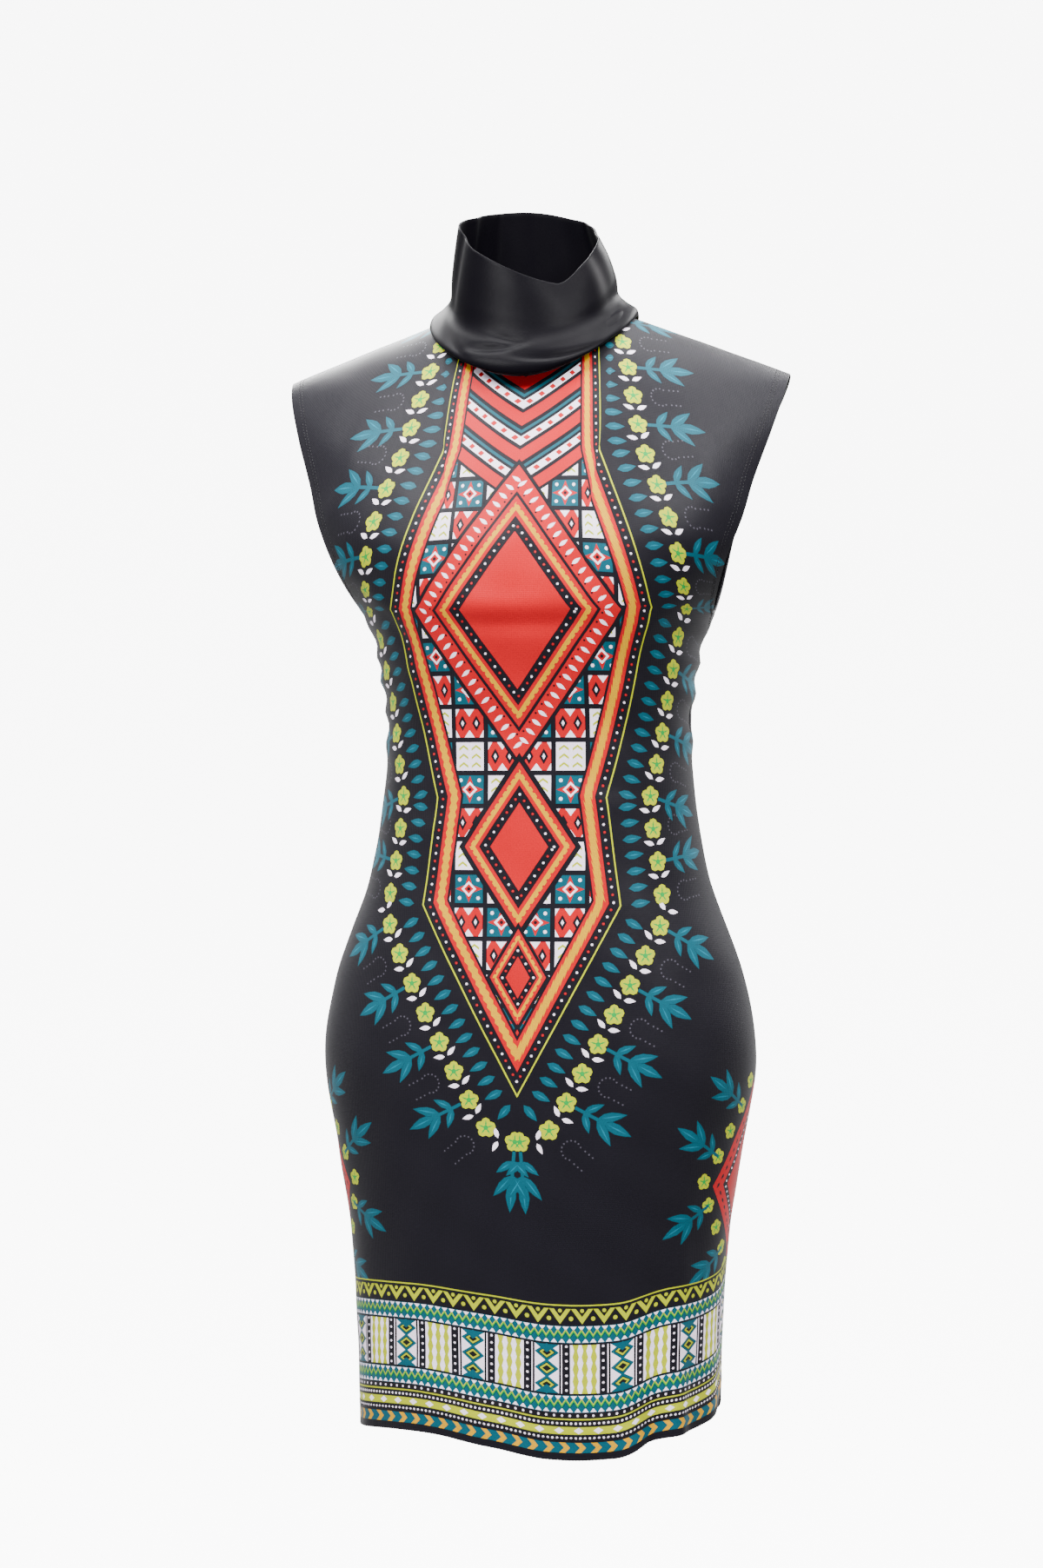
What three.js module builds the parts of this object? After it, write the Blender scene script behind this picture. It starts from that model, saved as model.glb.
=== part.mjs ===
// A sleeveless bodycon dress in printed stretch jersey, with a satin funnel collar that rolls out
// over the neckline. It is filled out as when worn, and open at the neck, armholes and hem.
//
// Millimetres, +Z up. The front faces -Y, and +X is on the right of someone who faces the dress.
// The origin lies midway between the shoulders, level with the foot of the collar's roll.

import * as THREE from 'three';

// ---------------------------------------------------------------- driving dimensions

const JERSEY_WALL = 1.6;
const TURNED_WALL = 2.6; // where an armhole or the hem is turned in and stitched
const COLLAR_WALL = 2.0; // satin, folded double
const SEAM_GAP = 0.3; // between the two panels at a seam
const NECK_SEAM_GAP = 0.9; // between the panels and the collar, which leaves them at an angle

const HEM_HEIGHT = -928;
const HEM_TURN = 22;
const HIP_HEIGHT = -560;
const WAIST_HEIGHT = -410;
const UNDERARM_HEIGHT = -236;

const NECK = { half: 70, front: 59, back: 50, sideHeight: 16 };
const SHOULDER = { half: 210.5, drop: 52.5 }; // drop is from the side of the neck to the tip
const ARMHOLE = { setBack: 28, roundOff: 0.3 }; // degrees off the side seam, share of its height
const BACK_CUT = 18; // how much further in the back's armholes are cut, half-way up
const YOKE = { startsAt: 0.2, roundness: 2.2 }; // where the cloth starts to turn over the shoulder
const FRONT_FULLNESS = 0.12; // how much squarer than an ellipse a section is

// One row for each level of the body: half its width, and its depth in front of and behind the seam.
const BODY_SECTIONS = [
  { height: -928, half: 152, front: 97, back: 102 },
  { height: -830, half: 154.5, front: 99, back: 108 },
  { height: -750, half: 160, front: 103, back: 115 },
  { height: -680, half: 171, front: 106, back: 123 },
  { height: -605, half: 182.5, front: 107, back: 128 },
  { height: -535, half: 171.5, front: 104, back: 118 },
  { height: -450, half: 142, front: 99, back: 98 },
  { height: -340, half: 127, front: 97, back: 82 },
  { height: -295, half: 130, front: 106, back: 84 },
  { height: -258, half: 137, front: 117, back: 88 },
  { height: -230, half: 150, front: 124, back: 93 },
  { height: -186, half: 167.5, front: 120, back: 98 },
  { height: -157, half: 178.5, front: 113, back: 99 },
  { height: -128, half: 186, front: 105, back: 98 },
  { height: -84, half: 200, front: 94, back: 93 },
  { height: -42, half: 210.5, front: 85, back: 87 },
  { height: 16, half: 213, front: 77, back: 80 },
];

// How far the hem rides up, from -1 at the left side seam to 1 at the right one.
const HEM_LINE = [
  { across: -1, rise: 9 },
  { across: -0.4, rise: 15 },
  { across: 0.1, rise: 0 },
  { across: 0.42, rise: 11 },
  { across: 0.7, rise: 26 },
  { across: 1, rise: 42 },
];

// Soft folds that run in from a side seam at the waist. side is -1 for left and 1 for right.
const WAIST_FOLDS = [
  { side: -1, height: -258, depth: 2.5, spread: 9, reach: 0.4, slant: 14 },
  { side: -1, height: -296, depth: 3.5, spread: 10, reach: 0.5, slant: -10 },
  { side: -1, height: -338, depth: 3.0, spread: 10, reach: 0.45, slant: 12 },
  { side: 1, height: -272, depth: 2.5, spread: 10, reach: 0.4, slant: -12 },
  { side: 1, height: -312, depth: 3.0, spread: 11, reach: 0.5, slant: 12 },
  { side: 1, height: -352, depth: 2.5, spread: 10, reach: 0.4, slant: 8 },
];

// Upright flutes of the hem. across runs from -1 at the left side seam to 1 at the right one.
const HEM_FLUTES = [
  { panel: 'front', across: 0.86, depth: 5, spread: 0.07, fade: 60 },
  { panel: 'front', across: 0.66, depth: 6, spread: 0.08, fade: 75 },
  { panel: 'front', across: 0.4, depth: 3, spread: 0.1, fade: 60 },
  { panel: 'front', across: -0.12, depth: 4, spread: 0.12, fade: 70 },
  { panel: 'front', across: -0.7, depth: 3, spread: 0.1, fade: 60 },
  { panel: 'back', across: 0.75, depth: 4, spread: 0.1, fade: 70 },
  { panel: 'back', across: 0.1, depth: 4, spread: 0.13, fade: 80 },
  { panel: 'back', across: -0.6, depth: 4, spread: 0.1, fade: 70 },
];

// One row for each ring of the collar, from the stand at the seam, out over the roll and up to the
// rim. half is half its width, and fore and aft are its depths. front, back, left and right are its
// heights above the seam. follow says how much of the neckline's own curve it keeps, climb how far
// it is on its way to the rim, and shift moves it sideways.
const COLLAR_RINGS = [
  { half: 70, fore: 59, aft: 50, left: 3, right: 3, front: 4, back: 4, follow: 1, climb: 0, shift: 0 },
  { half: 76, fore: 67, aft: 57, left: 3, right: 3, front: 5, back: 5, follow: 0.9, climb: 0, shift: -1 },
  { half: 84, fore: 78, aft: 65, left: -3, right: -2, front: -2, back: -2, follow: 0.5, climb: 0, shift: -2 },
  { half: 88, fore: 84, aft: 70, left: -4, right: 0, front: 0, back: 3, follow: 0.2, climb: 0, shift: -4 },
  { half: 86, fore: 84, aft: 70, left: 2, right: 5, front: 9, back: 12, follow: 0, climb: 0, shift: -4 },
  { half: 77, fore: 76, aft: 65, left: 9, right: 11, front: 22, back: 23, follow: 0, climb: 0, shift: -4 },
  { half: 71, fore: 68, aft: 61, left: 18, right: 18, front: 34, back: 36, follow: 0, climb: 0, shift: -4 },
  { half: 69, fore: 64, aft: 59, left: 18, right: 18, front: 34, back: 36, follow: 0, climb: 0.3, shift: -4 },
  { half: 64, fore: 60, aft: 57, left: 18, right: 18, front: 34, back: 36, follow: 0, climb: 0.68, shift: -5 },
  { half: 58, fore: 56, aft: 55, left: 18, right: 18, front: 34, back: 36, follow: 0, climb: 1, shift: -7 },
];

// The rim's height, by degrees round the neck from the centre front to the right. It dips in front,
// and its ends overlap so that it closes smoothly.
const RIM_LINE = [
  { around: -90, height: 95 },
  { around: -45, height: 66 },
  { around: 30, height: 36 },
  { around: 60, height: 56 },
  { around: 90, height: 78 },
  { around: 150, height: 103 },
  { around: 200, height: 111 },
  { around: 270, height: 95 },
  { around: 315, height: 66 },
  { around: 390, height: 36 },
];
const RIM_TURNS_AT = 315; // degrees; from here on the front's end of the line is used
const COLLAR_SAG = 1.25; // how round the collar hangs from its sides to its front and back

// The collar's left side is folded to a soft corner, which sharpens towards the rim.
const COLLAR_CORNER = { at: 1.5 * Math.PI, reach: 4, spread: 0.35 };

const NECK_COLUMNS = 6; // on each side of the centre line
const SIDE_COLUMNS = 6;
const SKIRT_ROWS = 10;
const HIP_ROWS = 7;
const WAIST_ROWS = 12;
const YOKE_ROWS = 13;

const JERSEY = { color: 0x23202a, roughness: 0.6, metalness: 0 };
const SATIN = { color: 0x0d0c10, roughness: 0.35, metalness: 0 };

// ---------------------------------------------------------------- small helpers

const square = (value) => value * value;

// A smooth curve through one column of a table whose rows are in the order of their by column.
function through(rows, column, at, by = 'height') {
  const last = rows.length - 1;
  const after = rows.findIndex((row) => row[by] >= at);
  const high = THREE.MathUtils.clamp(after < 0 ? last : after, 1, last);
  const low = high - 1;
  const slope = (middle) => {
    const [below, above] = [rows[Math.max(middle - 1, 0)], rows[Math.min(middle + 1, last)]];
    return (above[column] - below[column]) / (above[by] - below[by]);
  };
  const step = rows[high][by] - rows[low][by];
  const t = THREE.MathUtils.clamp((at - rows[low][by]) / step, 0, 1);
  const lowShare = square(1 - t) * (1 + 2 * t);
  return (
    rows[low][column] * lowShare +
    rows[high][column] * (1 - lowShare) +
    (slope(low) * (1 - t) - slope(high) * t) * t * (1 - t) * step
  );
}

function bump(distance, spread) {
  return Math.exp(-square(distance / spread));
}

// ---------------------------------------------------------------- the two panels

// Where the cloth's columns lie: close together under the neckline, then even to the side seam,
// with the last one as far in as an armhole's turning.
function columnPositions() {
  const topAngle = armholeAngle(1);
  const underNeck = [];
  for (let k = 0; k <= NECK_COLUMNS; k += 1) {
    const x = NECK.half * Math.sin((k / NECK_COLUMNS) * (Math.PI / 2));
    underNeck.push(Math.asin((x / SHOULDER.half) * Math.sin(topAngle)) / topAngle);
  }
  const neckEnd = underNeck[NECK_COLUMNS];
  const turning = 0.94;
  const toSide = [];
  for (let k = 1; k <= SIDE_COLUMNS; k += 1) {
    toSide.push(neckEnd + ((turning - neckEnd) * k) / SIDE_COLUMNS);
  }
  const right = [...underNeck.slice(1), ...toSide, 1];
  const left = right.map((across) => -across).reverse();
  return [...left, 0, ...right];
}

// Each row of the cloth is a level of the body, or a share of the way from underarm to shoulder.
function rowPositions() {
  const rows = [{ height: HEM_HEIGHT, share: 0 }];
  const evenly = (from, to, count) => {
    for (let k = 1; k <= count; k += 1) {
      rows.push({ height: from + ((to - from) * k) / count, share: 0 });
    }
  };
  evenly(HEM_HEIGHT, HEM_HEIGHT + HEM_TURN, 1);
  evenly(HEM_HEIGHT + HEM_TURN, HIP_HEIGHT, SKIRT_ROWS);
  evenly(HIP_HEIGHT, WAIST_HEIGHT, HIP_ROWS);
  evenly(WAIST_HEIGHT, UNDERARM_HEIGHT, WAIST_ROWS);
  for (let k = 1; k <= YOKE_ROWS; k += 1) {
    const share = (1 - Math.cos((k / YOKE_ROWS) * Math.PI)) / 2; // closer together at both ends
    rows.push({ height: UNDERARM_HEIGHT, share });
  }
  return rows;
}

// The angle round the body, from the centre line, at which a panel ends: the side seam below the
// underarm, and the armhole's edge above it.
function armholeAngle(share) {
  const climb = Math.min(share / ARMHOLE.roundOff, 1);
  const setBack = ARMHOLE.setBack * Math.sin((climb * Math.PI) / 2) ** 0.7;
  return THREE.MathUtils.degToRad(90 - setBack);
}

// The height of the shoulder line above x, carried on over the neck as a low crown.
function shoulderHeight(x) {
  const slope = SHOULDER.drop / (SHOULDER.half - NECK.half);
  const past = Math.abs(x) - NECK.half;
  if (past > 0) return NECK.sideHeight - slope * past;
  return NECK.sideHeight + ((slope * NECK.half) / 2) * (1 - square(x / NECK.half));
}

// How far from the shoulder line the panel's top edge lies at x: it is the neckline near the middle.
function neckDepth(panel, x) {
  const open = Math.max(1 - square(x / NECK.half), 0);
  return NECK[panel] * Math.sqrt(open);
}

// The cloth turns over to the shoulder line. This is the share of its depth that is left.
function turnOver(share) {
  const over = Math.max((share - YOKE.startsAt) / (1 - YOKE.startsAt), 0);
  return Math.sqrt(Math.max(1 - over ** YOKE.roundness, 0));
}

// The share of the way up at which the cloth is only this part of its full depth.
function shareAt(part) {
  const over = (1 - square(part)) ** (1 / YOKE.roundness);
  return YOKE.startsAt + (1 - YOKE.startsAt) * over;
}

// How far the folds lift the cloth off the plain form.
function foldLift(panel, across, height) {
  const side = Math.sign(across);
  const out = Math.abs(across);
  let lift = 0;
  for (const fold of WAIST_FOLDS.filter((each) => each.side === side)) {
    const inward = THREE.MathUtils.smoothstep(out, 1 - fold.reach, 1);
    const middle = fold.height + fold.slant * (1 - out);
    lift += fold.depth * inward * bump(height - middle, fold.spread);
  }
  const offSeam = 1 - out ** 8;
  for (const flute of HEM_FLUTES.filter((each) => each.panel === panel)) {
    const fade = Math.exp(-Math.max(height - HEM_HEIGHT, 0) / flute.fade);
    lift += flute.depth * fade * offSeam * bump(across - flute.across, flute.spread);
  }
  return lift;
}

// A point of the panel's outer face.
function panelPoint(panel, across, row) {
  const shoulderAngle = armholeAngle(1);
  const topX = (SHOULDER.half * Math.sin(across * shoulderAngle)) / Math.sin(shoulderAngle);
  const shoulder = shoulderHeight(topX);
  const round = (angle) => Math.cos(angle) * (1 + FRONT_FULLNESS * square(Math.sin(angle)));
  const topBody = through(BODY_SECTIONS, panel, shoulder) * round(across * shoulderAngle);
  const share = row.share * shareAt(neckDepth(panel, topX) / topBody);

  const edge = armholeAngle(share);
  const angle = across * edge;
  const skirt = 1 - THREE.MathUtils.smoothstep(row.height, HEM_HEIGHT, HIP_HEIGHT);
  const climb = (shoulder - UNDERARM_HEIGHT) * share;
  const height = row.height + climb + through(HEM_LINE, 'rise', across, 'across') * skirt;

  const cut = panel === 'back' ? BACK_CUT * Math.sin(Math.PI * share) : 0;
  const half = through(BODY_SECTIONS, 'half', height) - cut;
  const depth = through(BODY_SECTIONS, panel, height) * round(angle) * turnOver(share);
  const lift = foldLift(panel, across, height);
  const x = (half * Math.sin(angle)) / Math.sin(edge) + lift * Math.sin(angle);
  const y = SEAM_GAP / 2 + depth + lift * Math.cos(angle);
  return new THREE.Vector3(x, panel === 'front' ? -y : y, height);
}

function makePanel(panel) {
  const columns = columnPositions();
  if (panel === 'back') columns.reverse();
  const rows = rowPositions();
  const outer = rows.map((row) => columns.map((across) => panelPoint(panel, across, row)));
  const normals = gridNormals(outer, false);
  const inner = outer.map((line, i) =>
    line.map((point, j) => {
      const atHem = i < 2;
      const atArmhole = rows[i].share > 0 && Math.abs(columns[j]) > 0.9;
      const wall = atHem || atArmhole ? TURNED_WALL : JERSEY_WALL;
      const within = point.clone().addScaledVector(normals[i][j], -wall);
      const onSideSeam = rows[i].share === 0 && Math.abs(columns[j]) === 1;
      const onShoulder = rows[i].share === 1 && Math.abs(point.y) < SEAM_GAP;
      if (onSideSeam || onShoulder) within.y = point.y;
      return within;
    }),
  );
  return { outer, inner, normals };
}

// ---------------------------------------------------------------- the collar

// A point of a ring of the collar, at an angle round the neck from the centre front to the right.
// seam holds the heights of the seam at that angle, and at the front, back and side.
function collarPoint(ring, around, seam) {
  const [towardsFront, towardsSide] = [Math.cos(around), Math.sin(around)];
  const middle = towardsFront > 0 ? seam.front : seam.back;
  const sagging = seam.side + (middle - seam.side) * Math.abs(towardsFront) ** COLLAR_SAG;
  const base = ring.follow * seam.here + (1 - ring.follow) * sagging;

  const middleRise = square(towardsFront) * (towardsFront > 0 ? ring.front : ring.back);
  const sideRise = square(towardsSide) * (towardsSide > 0 ? ring.right : ring.left);
  const degrees = THREE.MathUtils.radToDeg(around);
  const turned = degrees > RIM_TURNS_AT ? degrees - 360 : degrees;
  const rim = through(RIM_LINE, 'height', turned, 'around');
  const height = THREE.MathUtils.lerp(base + middleRise + sideRise, rim, ring.climb);

  const fold = bump(around - COLLAR_CORNER.at, COLLAR_CORNER.spread);
  const half = ring.half + COLLAR_CORNER.reach * ring.climb * fold;
  const depth = towardsFront > 0 ? ring.fore : ring.aft;
  return new THREE.Vector3(ring.shift + half * towardsSide, -depth * towardsFront, height);
}

// The neckline as one loop, from the centre front to the right and round, as the collar's seam.
function necklineLoop(front, back) {
  const top = front.outer.length - 1;
  const last = front.outer[0].length - 1;
  const middle = last / 2;
  const corners = [];
  const take = (panel, column) => {
    const outer = panel.outer[top][column];
    corners.push({ outer, inner: panel.inner[top][column], normal: panel.normals[top][column] });
  };
  for (let k = 0; k <= NECK_COLUMNS; k += 1) take(front, middle + k);
  for (let k = NECK_COLUMNS - 1; k > -NECK_COLUMNS; k -= 1) take(back, middle - k);
  for (let k = -NECK_COLUMNS; k < 0; k += 1) take(front, middle + k);
  return corners;
}

function makeCollar(front, back) {
  const loop = necklineLoop(front, back);
  const count = loop.length;
  const seamOuter = [];
  const seamInner = [];
  loop.forEach((corner, k) => {
    const next = loop[(k + 1) % count].outer;
    const before = loop[(k + count - 1) % count].outer;
    const along = next.clone().sub(before).normalize();
    const inward = corner.normal.clone().cross(along).normalize().multiplyScalar(NECK_SEAM_GAP);
    seamOuter.push(corner.outer.clone().add(inward));
    seamInner.push(corner.inner.clone().add(inward));
  });
  const heights = { front: seamOuter[0].z, side: seamOuter[count / 4].z, back: seamOuter[count / 2].z };
  const outer = [seamOuter];
  for (const ring of COLLAR_RINGS) {
    const place = (point, k) => collarPoint(ring, (k / count) * Math.PI * 2, { ...heights, here: point.z });
    outer.push(seamOuter.map(place));
  }
  const normals = gridNormals(outer, true);
  const inner = outer.map((line, i) =>
    line.map((point, j) => point.clone().addScaledVector(normals[i][j], -COLLAR_WALL)),
  );
  inner[0] = seamInner;
  return { outer, inner };
}

// ---------------------------------------------------------------- walls of cloth

// The outward direction at each point of a grid whose rows run up and whose columns run to the
// right as seen from outside. A looped grid closes on itself sideways.
function gridNormals(grid, looped) {
  const lastRow = grid.length - 1;
  return grid.map((line, i) => {
    const lastColumn = line.length - 1;
    const above = grid[Math.min(i + 1, lastRow)];
    const below = grid[Math.max(i - 1, 0)];
    return line.map((_, j) => {
      const right = looped ? (j + 1) % line.length : Math.min(j + 1, lastColumn);
      const left = looped ? (j + lastColumn) % line.length : Math.max(j - 1, 0);
      const sideways = line[right].clone().sub(line[left]);
      const upwards = above[j].clone().sub(below[j]);
      return sideways.cross(upwards).normalize();
    });
  });
}

// One closed body between an outer and an inner grid of points.
function wallBetween({ outer, inner }, looped) {
  const rows = outer.length;
  const columns = outer[0].length;
  const points = [...outer.flat(), ...inner.flat()];
  const out = (i, j) => i * columns + (j % columns);
  const within = (i, j) => rows * columns + out(i, j);
  const index = [];
  const quad = (a, b, c, d) => index.push(a, b, c, a, c, d);

  const spans = looped ? columns : columns - 1;
  for (let j = 0; j < spans; j += 1) {
    for (let i = 0; i < rows - 1; i += 1) {
      quad(out(i, j), out(i, j + 1), out(i + 1, j + 1), out(i + 1, j));
      quad(within(i, j), within(i + 1, j), within(i + 1, j + 1), within(i, j + 1));
    }
    quad(out(0, j + 1), out(0, j), within(0, j), within(0, j + 1));
    quad(out(rows - 1, j), out(rows - 1, j + 1), within(rows - 1, j + 1), within(rows - 1, j));
  }
  if (!looped) {
    const end = columns - 1;
    for (let i = 0; i < rows - 1; i += 1) {
      quad(out(i, 0), out(i + 1, 0), within(i + 1, 0), within(i, 0));
      quad(out(i + 1, end), out(i, end), within(i, end), within(i + 1, end));
    }
  }
  const geometry = new THREE.BufferGeometry().setFromPoints(points);
  geometry.setIndex(index);
  geometry.computeVertexNormals();
  return geometry;
}

function namedMesh(name, geometry, finish) {
  const mesh = new THREE.Mesh(geometry, new THREE.MeshStandardMaterial(finish));
  mesh.name = name;
  return mesh;
}

// ---------------------------------------------------------------- assembly

const front = makePanel('front');
const back = makePanel('back');
const collar = makeCollar(front, back);

const dress = new THREE.Group();
dress.add(namedMesh('front_panel', wallBetween(front, false), JERSEY));
dress.add(namedMesh('back_panel', wallBetween(back, false), JERSEY));
dress.add(namedMesh('collar', wallBetween(collar, true), SATIN));

export default dress;
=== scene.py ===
"""A sleeveless bodycon dress in printed stretch jersey, with a rolled funnel collar in satin.

It is filled out as when worn. Sizes are millimetres in the dress's own frame: +Z up, the front
faces -Y, and +X is on the right of someone who faces the dress. Meshes are written in metres.
"""

import math
from collections import namedtuple

import bpy
import numpy as np
from bpy.props import FloatProperty, FloatVectorProperty, PointerProperty
from bpy.types import Operator, Panel, PropertyGroup
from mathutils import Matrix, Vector
from mathutils.geometry import delaunay_2d_cdt


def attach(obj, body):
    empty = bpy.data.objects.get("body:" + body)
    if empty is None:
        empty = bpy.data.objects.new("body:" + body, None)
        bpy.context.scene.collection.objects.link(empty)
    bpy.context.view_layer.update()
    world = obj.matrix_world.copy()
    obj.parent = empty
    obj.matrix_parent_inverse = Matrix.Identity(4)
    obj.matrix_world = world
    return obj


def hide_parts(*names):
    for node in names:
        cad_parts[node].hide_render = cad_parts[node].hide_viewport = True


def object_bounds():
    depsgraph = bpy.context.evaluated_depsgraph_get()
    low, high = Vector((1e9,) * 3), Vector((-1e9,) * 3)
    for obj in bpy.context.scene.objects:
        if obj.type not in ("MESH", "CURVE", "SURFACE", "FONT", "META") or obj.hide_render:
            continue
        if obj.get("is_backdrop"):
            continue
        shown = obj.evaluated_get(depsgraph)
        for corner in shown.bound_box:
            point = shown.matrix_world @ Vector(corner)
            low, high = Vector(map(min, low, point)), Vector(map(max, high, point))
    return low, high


bl_info = {
    "name": "Bodycon dress",
    "version": (1, 0, 0),
    "blender": (4, 5, 0),
    "location": "3D View > Sidebar > Dress",
    "description": "Dresses the packed frame in printed jersey, satin and stitching",
    "category": "Object",
}

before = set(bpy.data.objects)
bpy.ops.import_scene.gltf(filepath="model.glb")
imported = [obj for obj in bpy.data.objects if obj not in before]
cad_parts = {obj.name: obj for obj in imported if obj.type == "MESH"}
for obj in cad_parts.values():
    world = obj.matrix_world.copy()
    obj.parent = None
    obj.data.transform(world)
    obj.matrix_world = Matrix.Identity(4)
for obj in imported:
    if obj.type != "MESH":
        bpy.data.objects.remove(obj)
CAD_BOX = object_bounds()

MM = 0.001


# ------------------------------------------------------------------ sizes of the cut


def table(kind, *rows):
    return [kind(*row) for row in rows]


HEM_HEIGHT = -928
HEM_TURN = 22
HIP_HEIGHT = -560
UNDERARM_HEIGHT = -236

Neck = namedtuple("Neck", "half front back side_height")
NECK = Neck(half=70, front=59, back=50, side_height=16)
SHOULDER_HALF = 210.5
SHOULDER_DROP = 52.5
ARMHOLE_SET_BACK = 28  # degrees off the side seam
ARMHOLE_ROUND_OFF = 0.3  # share of its height
BACK_CUT = 18
YOKE_STARTS_AT = 0.2
YOKE_ROUNDNESS = 2.2
FRONT_FULLNESS = 0.12
SEAM_GAP = 0.3

Section = namedtuple("Section", "height half front back")
BODY = table(
    Section,
    (-928, 152, 97, 102), (-830, 154.5, 99, 108), (-750, 160, 103, 115), (-680, 171, 106, 123),
    (-605, 182.5, 107, 128), (-535, 171.5, 104, 118), (-450, 142, 99, 98), (-340, 127, 97, 82),
    (-295, 130, 106, 84), (-258, 137, 117, 88), (-230, 150, 124, 93), (-186, 167.5, 120, 98),
    (-157, 178.5, 113, 99), (-128, 186, 105, 98), (-84, 200, 94, 93), (-42, 210.5, 85, 87),
    (16, 213, 77, 80),
)

HemPoint = namedtuple("HemPoint", "across rise")
HEM_LINE = table(
    HemPoint,
    (-1, 12), (-0.4, 20), (-0.1, 12), (0.1, 3), (0.34, 4), (0.46, 13), (0.56, 19), (0.72, 23),
    (0.88, 31), (1, 43),
)

WaistFold = namedtuple("WaistFold", "side height depth spread reach slant")
WAIST_FOLDS = table(
    WaistFold,
    (-1, -247, 2.2, 8, 0.4, 14), (-1, -269, 3.4, 6.5, 0.5, -12), (-1, -292, 3.8, 6.5, 0.55, 14),
    (-1, -315, 3.4, 7, 0.45, -10), (-1, -344, 2.8, 9, 0.5, 12), (1, -250, 2, 8, 0.4, 12),
    (1, -276, 3.4, 7, 0.5, -14), (1, -303, 3.2, 7.5, 0.5, 12), (1, -341, 2.8, 10, 0.4, 8),
)

HemFlute = namedtuple("HemFlute", "panel across depth spread fade")
HEM_FLUTES = table(
    HemFlute,
    ("front", 0.86, 5, 0.07, 60), ("front", 0.6, 9, 0.055, 85), ("front", 0.5, -6, 0.045, 70),
    ("front", 0.38, 4, 0.07, 60), ("front", -0.12, 4, 0.12, 70), ("front", -0.7, 3, 0.1, 60),
    ("back", 0.75, 4, 0.1, 70), ("back", 0.1, 4, 0.13, 80), ("back", -0.6, 4, 0.1, 70),
)

UNEVENNESS = 0.5  # how far worn cloth swells and sinks between its folds
UNEVEN_START = {"front": 0.4, "back": 2.0}

# Soft creases, placed one by one. x and z are where the middle lies as the panel is faced, turn is the
# direction in degrees from +X, and a depth below zero is a trough.
Crease = namedtuple("Crease", "panel x z turn length width depth bend")
CREASES = table(
    Crease,
    ("front", -118, -226, -38, 42, 7, 1.6, 4), ("front", -104, -252, -52, 36, 6, -1.3, 3),
    ("front", -96, -282, -20, 34, 7, 1.2, 5), ("front", 116, -238, 35, 40, 7, 1.4, -4),
    ("front", 100, -270, 48, 34, 6, -1.2, -3), ("front", 0, -248, 0, 96, 6, -2.2, 5),
    ("front", -4, -232, 0, 84, 9, 1.3, 5), ("front", -60, -410, 8, 60, 9, 0.9, -4),
    ("front", 70, -392, -12, 56, 9, 1.0, 3), ("front", -150, -120, 70, 60, 9, 1.1, 5),
    ("front", 156, -130, -66, 60, 9, 1.1, -5), ("back", -100, -300, -24, 50, 9, 1.6, 4),
    ("back", 104, -330, 20, 54, 9, 1.8, -3), ("back", -70, -372, -10, 60, 10, 1.6, 5),
    ("back", 60, -400, 8, 64, 10, 1.5, -5), ("back", 0, -430, 0, 80, 9, 1.3, 6),
)

# One row for each ring of the collar, from the seam, out over the roll and up to the rim.
Ring = namedtuple("Ring", "at half fore aft left right front back follow climb shift")
COLLAR_RINGS = table(
    Ring,
    (0, 69.1, 58.1, 49.1, 0, 0, 0, 0, 1, 0, 0),
    (1, 70, 59, 50, 3, 3, 4, 4, 1, 0, 0),
    (2, 76, 67, 57, 3, 3, 5, 5, 0.9, 0, -1),
    (3, 84, 78, 65, -3, -2, -2, -2, 0.5, 0, -2),
    (4, 88, 84, 70, -4, 0, 0, 3, 0.2, 0, -4),
    (5, 86, 84, 70, 2, 5, 9, 12, 0, 0, -4),
    (6, 77, 76, 65, 9, 11, 22, 23, 0, 0, -4),
    (7, 71, 68, 61, 18, 18, 34, 36, 0, 0, -4),
    (8, 69, 64, 59, 18, 18, 34, 36, 0, 0.3, -4),
    (9, 64, 60, 57, 18, 18, 34, 36, 0, 0.68, -5),
    (10, 58, 56, 55, 18, 18, 34, 36, 0, 1, -7),
)
RimPoint = namedtuple("RimPoint", "around height")
RIM_LINE = table(
    RimPoint,
    (-90, 95), (-45, 66), (30, 36), (60, 56), (90, 78), (150, 103), (200, 111), (270, 95),
    (315, 66), (390, 36),
)
RIM_TURNS_AT = 315
COLLAR_SAG = 1.25
COLLAR_CORNER_AT = 270
COLLAR_CORNER_REACH = 4
COLLAR_CORNER_SPREAD = 20  # degrees

# Soft creases of the collar: around is in degrees from the centre front to the right, at is in rings.
CollarCrease = namedtuple("CollarCrease", "around at turn length width depth")
COLLAR_CREASES = table(
    CollarCrease,
    (-16, 5.9, 7, 24, 0.27, 2.6), (20, 5.1, -6, 36, 0.3, 2.4), (-8, 6.6, -5, 18, 0.28, 1.8),
    (-48, 5.4, -12, 22, 0.34, 1.8), (60, 5.6, 12, 24, 0.45, 0.9), (120, 5.4, -8, 30, 0.4, 1.3),
    (200, 5.6, 8, 34, 0.4, 1.5), (250, 5.3, -10, 24, 0.4, 1.2),
)

# Upright folds of the collar's tall back and left side.
CollarFold = namedtuple("CollarFold", "around spread depth")
COLLAR_FOLDS = table(
    CollarFold,
    (292, 7, -2), (246, 6, -2.6), (216, 7, 2.4), (176, 9, -2.2), (140, 7, 2.2), (108, 8, -2),
    (72, 8, -1.4),
)


# ------------------------------------------------------------------ small helpers


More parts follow.
